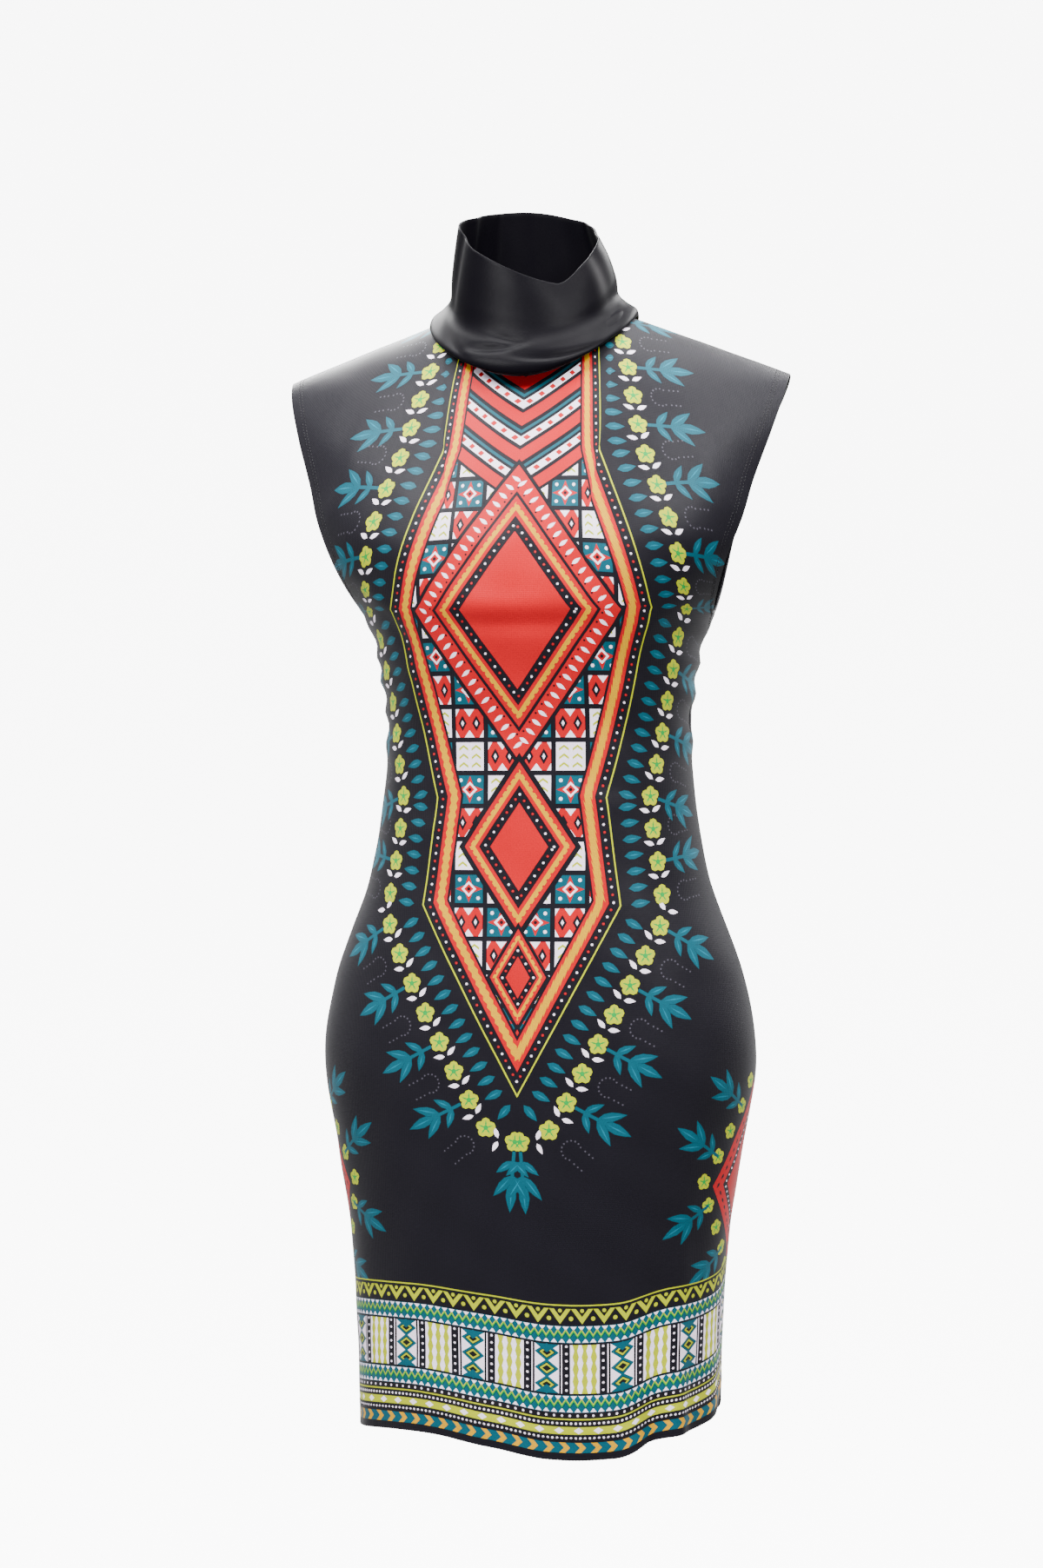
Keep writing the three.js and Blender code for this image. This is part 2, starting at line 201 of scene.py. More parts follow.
def through(rows, column, at, by="height"):
    """A smooth curve through one column of a table, taken at every value of an array."""
    places = np.array([getattr(row, by) for row in rows], float)
    values = np.array([getattr(row, column) for row in rows], float)
    slopes = np.gradient(values, places)
    slopes[1:-1] = (values[2:] - values[:-2]) / (places[2:] - places[:-2])
    high = np.clip(np.searchsorted(places, at), 1, len(rows) - 1)
    low = high - 1
    step = places[high] - places[low]
    t = np.clip((at - places[low]) / step, 0, 1)
    low_share = (1 - t) ** 2 * (1 + 2 * t)
    bow = (slopes[low] * (1 - t) - slopes[high] * t) * t * (1 - t) * step
    return values[low] * low_share + values[high] * (1 - low_share) + bow


def bump(distance, spread):
    return np.exp(-((distance / spread) ** 2))


def unit(vectors):
    return vectors / np.linalg.norm(vectors, axis=-1, keepdims=True)


def steps_along(points, axis):
    """The distances between neighbours along one axis of a grid of points."""
    return np.linalg.norm(np.diff(points, axis=axis), axis=-1)


def smooth_step(value, low, high):
    t = np.clip((value - low) / (high - low), 0, 1)
    return t * t * (3 - 2 * t)


def linear(hex_colour):
    """An sRGB hex colour as the linear RGBA that shaders and attributes hold."""
    channels = [int(hex_colour[k : k + 2], 16) / 255 for k in (0, 2, 4)]
    rgb = [c / 12.92 if c <= 0.04045 else ((c + 0.055) / 1.055) ** 2.4 for c in channels]
    return (*rgb, 1.0)


def grid_normals(grid, looped=False):
    """The outward direction at each point of a grid whose rows run up and columns to the right."""
    upwards = np.gradient(grid, axis=0)
    if looped:
        sideways = np.roll(grid, -1, axis=1) - np.roll(grid, 1, axis=1)
    else:
        sideways = np.gradient(grid, axis=1)
    return unit(np.cross(sideways, upwards))


def new_piece(name, points, faces, normals=None):
    """A mesh object at the origin from points in millimetres."""
    mesh = bpy.data.meshes.new(name)
    mesh.from_pydata((np.asarray(points) * MM).tolist(), [], faces)
    mesh.shade_smooth()
    if normals is not None:
        mesh.normals_split_custom_set_from_vertices(normals.tolist())
    piece = bpy.data.objects.new(name, mesh)
    bpy.context.collection.objects.link(piece)
    return piece


# ------------------------------------------------------------------ what a user may change


def length(name, description, millimetres):
    return FloatProperty(
        name=name,
        description=description,
        default=millimetres * MM,
        min=0,
        precision=4,
        unit="LENGTH",
        subtype="DISTANCE",
    )


def colour(name, description, hex_colour):
    return FloatVectorProperty(
        name=name,
        description=description,
        default=linear(hex_colour),
        size=4,
        min=0,
        max=1,
        subtype="COLOR",
    )


class DressSizes(PropertyGroup):
    """Thicknesses of the cloth, and the sewing."""

    jersey_wall: length("Jersey", "Thickness of a single layer of jersey", 1.0)
    turned_wall: length("Turned jersey", "Thickness where the jersey is turned in and doubled", 2.0)
    satin_wall: length("Satin", "Thickness of the doubled satin of the collar", 1.6)
    hem_stitches: length("Hem stitches", "Height of the lower row of hem stitches over the edge", 17)
    armhole_stitches: length("Armhole stitches", "Distance of the outer row from the armhole's edge", 8)
    needle_gap: length("Needle gap", "Distance between the two rows of a twin needle", 3)
    stitch_pitch: length("Stitch pitch", "Distance from one stitch to the next", 2.8)
    stitch_length: length("Stitch length", "Length of thread that shows in a stitch", 2.1)
    thread: length("Thread", "Thickness of the sewing thread", 0.55)
    edge_pitch: length("Overlock pitch", "Distance between the loops over the hem's edge", 2.7)
    edge_loop: length("Overlock loop", "Thickness of a loop over the hem's edge", 2.2)


class PrintInks(PropertyGroup):
    """The inks of the print."""

    ground: colour("Ground", "The cloth between the motifs", "0E0C14")
    red: colour("Red", "Lozenges and braid", "B20413")
    yellow: colour("Yellow", "Toothed lines of the braid", "C59000")
    cream: colour("Cream", "Blocks, buds and dots", "F5E7F8")
    teal: colour("Teal", "Leaves and sprigs", "004B5A")
    light_teal: colour("Light teal", "Veins of the leaves", "00697F")
    lime: colour("Lime", "Blossoms and lines", "A7AF04")
    green: colour("Green", "Hearts of the blossoms", "048F37")
    grey: colour("Grey", "Dotted lines between the sprigs", "43404A")


class DressColours(PropertyGroup):
    """The colours of the plain cloth and the threads."""

    satin: colour("Satin", "The collar", "07060A")
    wrong_side: colour("Wrong side", "The inside of the jersey", "0C0B0F")
    wrong_side_pale: colour("Wrong side, pale", "The inside where less ink goes through", "16141A")
    thread: colour("Thread", "Stitches and overlocked edge", "0B0A0E")


# ------------------------------------------------------------------ the form of a panel


def armhole_angle(share):
    """The angle round the body, from the centre line, at which a panel ends."""
    climb = np.minimum(share / ARMHOLE_ROUND_OFF, 1)
    return np.radians(90 - ARMHOLE_SET_BACK * np.sin(climb * math.pi / 2) ** 0.7)


def shoulder_height(x):
    slope = SHOULDER_DROP / (SHOULDER_HALF - NECK.half)
    past = np.abs(x) - NECK.half
    crown = NECK.side_height + slope * NECK.half / 2 * (1 - (x / NECK.half) ** 2)
    return np.where(past > 0, NECK.side_height - slope * past, crown)


def neck_depth(panel, x):
    return getattr(NECK, panel) * np.sqrt(np.maximum(1 - (x / NECK.half) ** 2, 0))


def turn_over(share):
    """The share of its depth that is left as the cloth turns over to the shoulder line."""
    over = np.maximum((share - YOKE_STARTS_AT) / (1 - YOKE_STARTS_AT), 0)
    return np.sqrt(np.maximum(1 - over**YOKE_ROUNDNESS, 0))


def share_at(part):
    over = np.maximum(1 - part**2, 0) ** (1 / YOKE_ROUNDNESS)
    return YOKE_STARTS_AT + (1 - YOKE_STARTS_AT) * over


def section_round(angle):
    return np.cos(angle) * (1 + FRONT_FULLNESS * np.sin(angle) ** 2)


def fold_lift(panel, across, height, x):
    """How far folds and creases lift the cloth off the plain form."""
    out = np.abs(across)
    lift = np.zeros(np.broadcast(across, height).shape)
    for fold in WAIST_FOLDS:
        inward = smooth_step(out, 1 - fold.reach, 1) * (np.sign(across) == fold.side)
        middle = fold.height + fold.slant * (1 - out)
        lift += fold.depth * inward * bump(height - middle, fold.spread)
    for flute in HEM_FLUTES:
        if flute.panel == panel:
            fade = np.exp(-np.maximum(height - HEM_HEIGHT, 0) / flute.fade) * (1 - out**8)
            lift += flute.depth * fade * bump(across - flute.across, flute.spread)
    for crease in CREASES:
        if crease.panel == panel:
            turn = math.radians(crease.turn)
            aside, up = x - crease.x, height - crease.z
            along = (aside * math.cos(turn) + up * math.sin(turn)) / crease.length
            off = up * math.cos(turn) - aside * math.sin(turn) - crease.bend * along**2
            taper = np.maximum(1 - along**2, 0) ** 2
            lift += crease.depth * taper * bump(off, crease.width)
    start = UNEVEN_START[panel]
    wave = np.sin(x / 10 + height / 27 + start) * np.sin(height / 13 - x / 34 + start)
    return lift + UNEVENNESS * (1 - out**8) * wave


def panel_points(panel, across, level, share):
    """Points of a panel's outer face, across from -1 at the left side seam to 1 at the right one."""
    shoulder_angle = armhole_angle(1.0)
    top_x = SHOULDER_HALF * np.sin(across * shoulder_angle) / math.sin(shoulder_angle)
    shoulder = shoulder_height(top_x)
    top_body = through(BODY, panel, shoulder) * section_round(across * shoulder_angle)
    share = share * share_at(neck_depth(panel, top_x) / top_body)

    edge = armhole_angle(share)
    angle = across * edge
    skirt = 1 - smooth_step(level, HEM_HEIGHT, HIP_HEIGHT)
    rise = through(HEM_LINE, "rise", across, "across")
    height = level + (shoulder - UNDERARM_HEIGHT) * share + rise * skirt

    cut = BACK_CUT * np.sin(math.pi * share) if panel == "back" else 0
    half = through(BODY, "half", height) - cut
    depth = through(BODY, panel, height) * section_round(angle) * turn_over(share)
    x = half * np.sin(angle) / np.sin(edge)
    lift = fold_lift(panel, across, height, x)
    y = SEAM_GAP / 2 + depth + lift * np.cos(angle)
    towards = -1 if panel == "front" else 1
    return np.stack([x + lift * np.sin(angle), towards * y, height], axis=-1)


NECK_COLUMNS = 16
SIDE_COLUMNS = 33
SEAM_COLUMNS = [0.99, 0.995, 1]
LEVEL_STEP = 5
YOKE_PARTS = np.concatenate([np.linspace(0, 0.98, 54), [0.99, 0.996, 1]])
YOKE_SAMPLES = 400
LOOKUP_ROUNDS = 5

ARMHOLE_TURN = 14
SEAM_TUCK = 0.7
SEAM_SPREAD = 2.2


class Cloth:
    """A panel as a fine grid of points, and where each point lies on the cloth before it is sewn."""

    def __init__(self, panel, sizes):
        self.panel = panel
        across = self.columns()
        if panel == "back":
            across = across[::-1]
        levels = np.linspace(
            HEM_HEIGHT, UNDERARM_HEIGHT, round((UNDERARM_HEIGHT - HEM_HEIGHT) / LEVEL_STEP) + 1
        )
        lower = panel_points(panel, across[None, :], levels[:, None], np.zeros((len(levels), 1)))
        yoke, yoke_up = self.even_yoke(across)
        self.points = np.concatenate([lower, yoke[1:]])
        up = np.concatenate([np.repeat(levels[:, None], len(across), axis=1), yoke_up[1:]])
        run = np.cumsum(steps_along(self.points, 1), axis=1)
        out = np.concatenate([np.zeros((len(up), 1)), run], axis=1)
        self.middle = len(across) // 2
        out -= out[:, self.middle : self.middle + 1]

        self.out, self.up = out, up
        self.levels = levels
        self.yoke_length = yoke_up[-1] - UNDERARM_HEIGHT
        self.normals = grid_normals(self.points)
        self.tuck_seams()
        self.walls = self.wall_grid(sizes)

    @staticmethod
    def columns():
        top = armhole_angle(1.0)
        under_neck = NECK.half * np.sin(np.linspace(0, math.pi / 2, NECK_COLUMNS + 1))
        under_neck = np.arcsin(under_neck / SHOULDER_HALF * math.sin(top)) / top
        to_side = np.linspace(under_neck[-1], 0.98, SIDE_COLUMNS + 1)[1:]
        right = np.concatenate([under_neck[1:], to_side, SEAM_COLUMNS])
        return np.concatenate([-right[::-1], [0], right])

    def even_yoke(self, across):
        """The yoke's rows, which cut each column into equal lengths of cloth, and their lengths."""
        shares = np.sin(np.linspace(0, math.pi / 2, YOKE_SAMPLES))[:, None]
        fine = panel_points(self.panel, across[None, :], UNDERARM_HEIGHT, shares)
        run = np.cumsum(steps_along(fine, 0), axis=0)
        lengths = np.concatenate([np.zeros((1, len(across))), run])
        rows = np.empty((len(YOKE_PARTS), len(across)))
        for column in range(len(across)):
            wanted = YOKE_PARTS * lengths[-1, column]
            rows[:, column] = np.interp(wanted, lengths[:, column], shares[:, 0])
        points = panel_points(self.panel, across[None, :], UNDERARM_HEIGHT, rows)
        return points, UNDERARM_HEIGHT + YOKE_PARTS[:, None] * lengths[-1]

    def tuck_seams(self):
        """The cloth dips where it is drawn in by its side and shoulder seams."""
        below_arm = (self.up <= UNDERARM_HEIGHT + LEVEL_STEP) * 1.0
        from_top = self.up[-1:] - self.up
        on_shoulder = (np.abs(self.points[-1:, :, 0]) > NECK.half) * 1.0
        tuck = bump(self.from_side(), SEAM_SPREAD) * below_arm
        tuck = tuck + bump(from_top, SEAM_SPREAD) * on_shoulder
        self.points = self.points - self.normals * (SEAM_TUCK * np.minimum(tuck, 1))[..., None]

    def from_side(self):
        return np.minimum(self.out - self.out[:, :1], self.out[:, -1:] - self.out)

    def wall_grid(self, sizes):
        at_armhole = (self.up > UNDERARM_HEIGHT) & (self.from_side() < ARMHOLE_TURN)
        turned = (self.up < HEM_HEIGHT + HEM_TURN) | at_armhole
        return np.where(turned, sizes.turned_wall, sizes.jersey_wall) / MM

    def outline(self):
        """The grid's outer corners as one loop, counted row by row."""
        rows, columns = self.out.shape
        bottom = list(range(columns))
        right = [row * columns + columns - 1 for row in range(1, rows)]
        top = [(rows - 1) * columns + column for column in range(columns - 2, -1, -1)]
        left = [row * columns for row in range(rows - 2, 0, -1)]
        return bottom + right + top + left

    def find(self, out, up):
        """The row and column, as fractions, of places on the flat cloth."""
        rows, columns = self.out.shape
        numbers = np.arange(columns)
        last_level = len(self.levels) - 1
        column = np.full(len(out), float(self.middle))
        for _ in range(LOOKUP_ROUNDS):
            length = np.interp(column, numbers, self.yoke_length)
            part = np.interp((up - UNDERARM_HEIGHT) / length, YOKE_PARTS, np.arange(len(YOKE_PARTS)))
            below = np.interp(up, self.levels, np.arange(last_level + 1))
            row = np.where(up <= UNDERARM_HEIGHT, below, last_level + part)
            low = np.minimum(row.astype(int), rows - 2)
            rest = (row - low)[:, None]
            lines = self.out[low] * (1 - rest) + self.out[low + 1] * rest
            column = np.array([np.interp(o, line, numbers) for o, line in zip(out, lines)])
        return row, column

    @staticmethod
    def blend(grid, row, column):
        """A grid's values at rows and columns given as fractions."""
        i = np.minimum(row.astype(int), grid.shape[0] - 2)
        j = np.minimum(column.astype(int), grid.shape[1] - 2)
        extra = (1,) * (grid.ndim - 2)
        v = (row - i).reshape(-1, *extra)
        u = (column - j).reshape(-1, *extra)
        low = grid[i, j] * (1 - u) + grid[i, j + 1] * u
        high = grid[i + 1, j] * (1 - u) + grid[i + 1, j + 1] * u
        return low * (1 - v) + high * v

    def at(self, row, column):
        """Points and outward directions at rows and columns given as fractions."""
        return self.blend(self.points, row, column), unit(self.blend(self.normals, row, column))

    def half_girth(self, up):
        """How far the side seam lies from the centre line at a level of the cloth."""
        return float(np.interp(up, self.levels, self.out[: len(self.levels), -1]))


# ------------------------------------------------------------------ printed shapes

INKS = list(PrintInks.__annotations__)
EDGE_ROUNDING = 0.4  # share of the wall that its edge bows out
PRINT_STEP = 5  # longest straight edge of a printed shape, so that it follows the cloth


def onward(x, y, distance, turn):
    """The place at a distance from x, y in the direction of turn."""
    return x + distance * math.cos(turn), y + distance * math.sin(turn)


def dot(x, y, radius):
    """A small round shape, with no more sides than it needs."""
    sides = 6 if radius < 1.6 else 8
    return [onward(x, y, radius, math.tau * k / sides) for k in range(sides)]


def diamond(x, y, half_wide, half_tall):
    return [(x + half_wide, y), (x, y + half_tall), (x - half_wide, y), (x, y - half_tall)]


def box(left, bottom, right, top):
    return [(left, bottom), (right, bottom), (right, top), (left, top)]


def leaf(x, y, length, width, turn, steps=4):
    """A leaf that starts at x, y and points along turn."""
    cos, sin = math.cos(turn), math.sin(turn)
    shares = [k / steps for k in range(steps + 1)]
    edge = [(length * share, width / 2 * math.sin(math.pi * share**0.8)) for share in shares]
    outline = edge + [(a, -b) for a, b in edge[-2:0:-1]]
    return [(x + a * cos - b * sin, y + a * sin + b * cos) for a, b in outline]


def vein(x, y, length, turn):
    """The pale line along the middle of a leaf that starts at x, y."""
    return leaf(*onward(x, y, 4, turn), length - 8, 1.2, turn, steps=2)


def offset(path, distance):
    """A path moved to its left, with its corners kept sharp."""
    points = np.array(path, float)
    ways = unit(np.diff(points, axis=0))
    lefts = np.stack([-ways[:, 1], ways[:, 0]], axis=1)
    before = np.concatenate([lefts[:1], lefts])
    after = np.concatenate([lefts, lefts[-1:]])
    middle = before + after
    reach = 2 / np.sum(middle**2, axis=1, keepdims=True)
    return (points + middle * reach * distance).tolist()


def ribbon(path, near, far):
    return offset(path, near) + offset(path, far)[::-1]


def walk(path, spacing, start=0.0):
    """Even steps along a path, each with its place and heading."""
    points = np.array(path, float)
    lengths = steps_along(points, 0)
    ends = np.concatenate([[0], np.cumsum(lengths)])
    for at in np.arange(start, ends[-1], spacing):
        k = min(int(np.searchsorted(ends, at, side="right")) - 1, len(lengths) - 1)
        way = (points[k + 1] - points[k]) / lengths[k]
        x, y = points[k] + way * (at - ends[k])
        yield float(x), float(y), math.atan2(way[1], way[0])


def toothed(path, near, far, pitch, tooth):
    """A ribbon whose both edges are cut into small teeth."""

    def edge(at, tips):
        roots = [(x, y) for x, y, _ in walk(offset(path, at), pitch / 2)]
        teeth = [(x, y) for x, y, _ in walk(offset(path, tips), pitch / 2)]
        return [teeth[min(k, len(teeth) - 1)] if k % 2 else roots[k] for k in range(len(roots))]

    return edge(near, near - tooth) + edge(far, far + tooth)[::-1]


# The border of the middle field, from the top left, down to its tip and up on the right.
FIELD_SIDE = [(76, 80), (80, -95), (116, -232), (72, -388), (84, -476), (0, -632)]
FIELD = [(-x, y) for x, y in FIELD_SIDE] + FIELD_SIDE[-2::-1]


def field_border():
    """Line, dots and a toothed red and yellow braid round the middle field."""
    yield "ground", ribbon(FIELD, 0, 24)
    yield "lime", ribbon(FIELD, 0, 1.3)
    for k, (x, y, _) in enumerate(walk(offset(FIELD, 6), 6.4)):
        yield ("cream", "red")[k % 2], dot(x, y, 1.15)
    yield "red", ribbon(FIELD, 10, 22)
    yield "yellow", toothed(FIELD, 14, 18.5, 7, 1.4)


def outside_field():
    """The cloth at both sides of the middle field and below its tip, in the ground colour."""
    for side in (-1, 1):
        border = [(side * x, y) for x, y in FIELD_SIDE]
        yield "ground", border + [(0, -680), (side * 320, -680), (side * 320, 110), (side * 76, 110)]


def nested_diamond(x, y, half_wide, half_tall, scale=1.0, leafy=False):
    """A red lozenge inside dark, dotted, toothed and leafy frames."""
    slope = half_tall / half_wide

    def grown(by):
        return diamond(x, y, half_wide + by * scale, half_tall + by * scale * slope)

    def around(by, pitch, start=0.0):
        corners = grown(by)
        return walk(corners + corners[:1], pitch, start)

    yield "ground", grown(46 if leafy else 27)
    if leafy:
        yield "red", grown(42)
        for a, b, heading in around(34, 9, 4):
            way = heading - math.pi / 2
            yield "cream", leaf(*onward(a, b, -4.5, way), 9, 3.4, way)
        for a, b, _ in around(28, 9, 8.5):
            yield "ground", dot(a, b, 1)
        yield "ground", grown(25)
    yield "red", grown(22)
    yield "yellow", grown(18)
    for a, b, _ in around(18, 6):
        yield "red", dot(a, b, 1.3)
    yield "red", grown(13)
    yield "ground", grown(9.5)
    for k, (a, b, _) in enumerate(around(4.8, 6.4)):
        yield ("cream", "red")[k % 2], dot(a, b, 1.1)
    yield "red", grown(0)


def chevron(y, half_wide, drop, thick):
    return [
        (-half_wide, y + drop),
        (0, y),
        (half_wide, y + drop),
        (half_wide, y + drop + thick),
        (0, y + thick),
        (-half_wide, y + drop + thick),
    ]


BLOCK_WIDE = 24
BLOCK_TALL = 23
BLOCK_LEFTS = (2, 30, 58, 86)
BLOCK_ROW_PITCH = 27
BLOCK_ROWS_FROM = -123
BLOCK_ROWS = 18


def arrow_block(left, low):
    """A cream block with two columns of arrowheads."""
    yield "cream", box(left, low, left + BLOCK_WIDE, low + BLOCK_TALL)
    for x in (left + 6.5, left + 17.5):
        for y in (low + 2, low + 9, low + 16):
            yield "lime", [(x - 4, y), (x, y + 3), (x + 4, y), (x + 4, y + 2), (x, y + 5), (x - 4, y + 2)]


def lattice_block(left, low):
    """A red block of small lozenges with dark hearts between cream points."""
    yield "red", box(left, low, left + BLOCK_WIDE, low + BLOCK_TALL)
    middle = low + BLOCK_TALL / 2
    for across, before, after in ((0, 0, 3.4), (12, 4.4, 4.4), (24, 0, -3.4)):
        x = left + across
        for foot, tip in ((low, low + 6), (low + BLOCK_TALL, low + BLOCK_TALL - 6)):
            yield "cream", [(x - before, foot), (x + after, foot), (x, tip)]
    for x in (left + 6, left + 18):
        yield "ground", diamond(x, middle, 3.6, 6.4)
        yield "cream", diamond(x, middle, 1.4, 2.6)


def star_block(left, low):
    """A teal block with red and cream stars of common shape."""
    yield "teal", box(left, low, left + BLOCK_WIDE, low + BLOCK_TALL)
    x, y = left + BLOCK_WIDE / 2, low + BLOCK_TALL / 2
    yield "red", diamond(x, y, 11.6, 4.4)
    yield "red", diamond(x, y, 4.4, 11)
    yield "cream", diamond(x, y, 6.4, 6.4)
    yield "red", diamond(x, y, 4, 4)
    yield "ground", dot(x, y, 1.5)
    for a in (4, BLOCK_WIDE - 4):
        for b in (4, BLOCK_TALL - 4):
            yield "cream", dot(left + a, low + b, 1.6)


def block_rows():
    """Rows of dark-framed blocks down the middle field."""
    yield "ground", box(-120, -650, 120, 0)
    kinds = (lattice_block, arrow_block, star_block)
    border = FIELD_SIDE[::-1]
    for row in range(BLOCK_ROWS):
        low = BLOCK_ROWS_FROM - row * BLOCK_ROW_PITCH
        reach = np.interp((low, low + BLOCK_TALL), [y for _, y in border], [x for x, _ in border])
        for k, left in enumerate(BLOCK_LEFTS):
            if left < max(reach) - 20:
                kind = kinds[(row + k) % 3]
                yield from kind(left, low)
                yield from kind(-left - BLOCK_WIDE, low)


def field_filling():
    """Chevrons at the top of the middle field, and lozenges over rows of blocks."""
    yield from block_rows()
    yield from outside_field()
    for k in range(7):
        y = -146 + k * 34
        yield "ground", chevron(y - 3, 62, 42, 37)
        yield "red", chevron(y, 60, 41, 12)
        yield "cream", chevron(y + 16, 60, 41, 8)
        for side in (-1, 1):
            for step in range(6):
                x = 5 + step * 10
                yield "red", diamond(side * x, y + 20 + x * 0.68, 3.4, 2.6)
        yield "teal", chevron(y + 27, 60, 41, 3)
    yield from nested_diamond(0, -236, 46, 64, leafy=True)
    yield from nested_diamond(0, -428, 24, 36)
    yield from nested_diamond(0, -534, 10, 17, scale=0.6)
    yield "ground", diamond(0, -588, 9, 17)
    yield "red", diamond(0, -588, 6, 12)
    yield "cream", dot(0, -588, 1.6)


def veined_leaf(x, y, length, width, turn):
    yield "teal", leaf(x, y, length, width, turn)
    yield "light_teal", vein(x, y, length, turn)


def sprig(x, y, turn):
    """A teal sprig: a stem with a leaf at its tip and two pairs at its sides."""
    yield "teal", ribbon([(x, y), onward(x, y, 30, turn)], -1.4, 1.4)
    yield from veined_leaf(*onward(x, y, 26, turn), 26, 9, turn)
    for at, spread, length, width in ((20, 0.62, 25, 8), (8, 0.85, 18, 6.5)):
        for side in (-1, 1):
            yield from veined_leaf(*onward(x, y, at, turn), length, width, turn + side * spread)


def rosette(x, y, radius):
    """A round lime blossom of five petals with a green heart."""
    angles = [math.tau * k / 5 + math.pi / 2 for k in range(5)]
    for angle in angles:
        yield "lime", dot(*onward(x, y, radius * 0.55, angle), radius * 0.46)
    for angle in angles:
        yield "green", leaf(x, y, radius * 0.8, 1.4, angle, steps=2)
    yield "green", dot(x, y, radius * 0.24)


def round_tip(path, out):
    """A path moved to its right, which starts straight below its first point in a round turn."""
    (x, y), (next_x, next_y) = path[0], path[1]
    first = math.atan2(next_y - y, next_x - x) - math.pi / 2
    angles = np.linspace(-math.pi / 2, first, 8)[:-1]
    return [onward(x, y, out, angle) for angle in angles] + offset(path, -out)


def dotted_loop(x, y, way):
    """A loop of grey dots that opens towards way, with a dotted line at each end."""
    middle = onward(x, y, 24, way)
    for step in range(11):
        place = onward(*middle, -8, way + (step - 5) * 0.42)
        yield "grey", dot(*place, 0.8)
        if step in (0, 10):
            for reach in (5, 9, 13):
                yield "grey", dot(*onward(*place, reach, way), 0.8)


def leafy_border(path, out):
    """A row of small leaves, one of blossoms and one of sprigs outside a path."""
    for x, y, heading in walk(round_tip(path, 8), 13.2, 6):
        yield from veined_leaf(x, y, 17, 7, heading - math.pi / 2)
    for k, (x, y, heading) in enumerate(walk(round_tip(path, out), 27, 2)):
        way = heading - math.pi / 2
        yield from rosette(x, y, 8.5)
        gap = onward(x, y, 13.5, heading)
        for bud in (way + 0.4, way - 0.4 + math.pi):
            yield "cream", leaf(*onward(*gap, 1.4, bud), 10, 4.2, bud)
        yield from dotted_loop(x, y, way) if k % 2 else sprig(*onward(x, y, 8, way), way)


def mirrored(shapes):
    for ink, shape in shapes:
        yield ink, shape
        yield ink, [(-x, y) for x, y in shape]


HEM_BORDER_TOP = -801
HIP_PATCH_TOP = -622
HIP_PATCH_MIDDLE = -716
HIP_PATCH_DEPTH = 50


def hip_patch(cloth):
    """Half a red lozenge at the side seam of the hip, with sprigs round it."""
    top = (cloth.half_girth(HIP_PATCH_TOP) + 2, HIP_PATCH_TOP)
    middle = (cloth.half_girth(HIP_PATCH_MIDDLE) - HIP_PATCH_DEPTH, HIP_PATCH_MIDDLE)
    bottom = (cloth.half_girth(HEM_BORDER_TOP) + 2, HEM_BORDER_TOP)
    path = [top, middle, bottom]
    corner = (middle[0] + 90, middle[1])
    yield "red", path + [corner]
    yield "ground", offset(path, 12) + [corner]
    for x, y, _ in walk(offset(path, 15), 6.4):
        yield "cream", dot(x, y, 1.15)
    yield "red", offset(path, 18) + [corner]
    for x, y, heading in walk(offset(path, 6), 9):
        yield "ground", leaf(x, y, 6, 2.6, heading)
    for k, (x, y, heading) in enumerate(walk(offset(path, -12), 26, 12)):
        yield from rosette(x, y, 7.5)
        if k % 2:
            yield from sprig(x, y, heading - math.pi / 2)


def zigzag(half, high, low, pitch, thick):
    xs = np.arange(-half, half + pitch, pitch / 2)
    upper = [(float(x), high if k % 2 else low) for k, x in enumerate(xs)]
    return upper + [(x, y - thick) for x, y in upper[::-1]]


def zigzag_band(half, top):
    """A teal band, 14 mm deep, with cream points along both edges and zigzags between them."""
    yield "teal", box(-half, top - 14, half, top)
    for x in np.arange(-half, half, 6.4):
        yield "cream", [(x + 0.6, top - 0.4), (x + 3.2, top - 3.8), (x + 5.8, top - 0.4)]
        yield "cream", [(x - 2.6, top - 13.6), (x, top - 10.2), (x + 2.6, top - 13.6)]
    yield "lime", zigzag(half, top - 2.4, top - 7.2, 6.4, 1.2)
    yield "green", zigzag(half, top - 3.6, top - 8.4, 6.4, 1.6)
    yield "ground", zigzag(half, top - 5.4, top - 10.2, 6.4, 0.7)


def vee_row(half, top):
    """Lime vees and dots under a thin line."""
    yield "lime", box(-half, top - 1.2, half, top)
    for x in np.arange(-half, half, 18):
        outer = [(x, top - 3.4), (x + 9, top - 16), (x + 18, top - 3.4)]
        inner = [(x + 14, top - 3.4), (x + 9, top - 10), (x + 4, top - 3.4)]
        yield "lime", outer + inner
        yield "lime", dot(x + 9, top - 5, 1.7)
        yield "lime", dot(x, top - 11.5, 1.9)


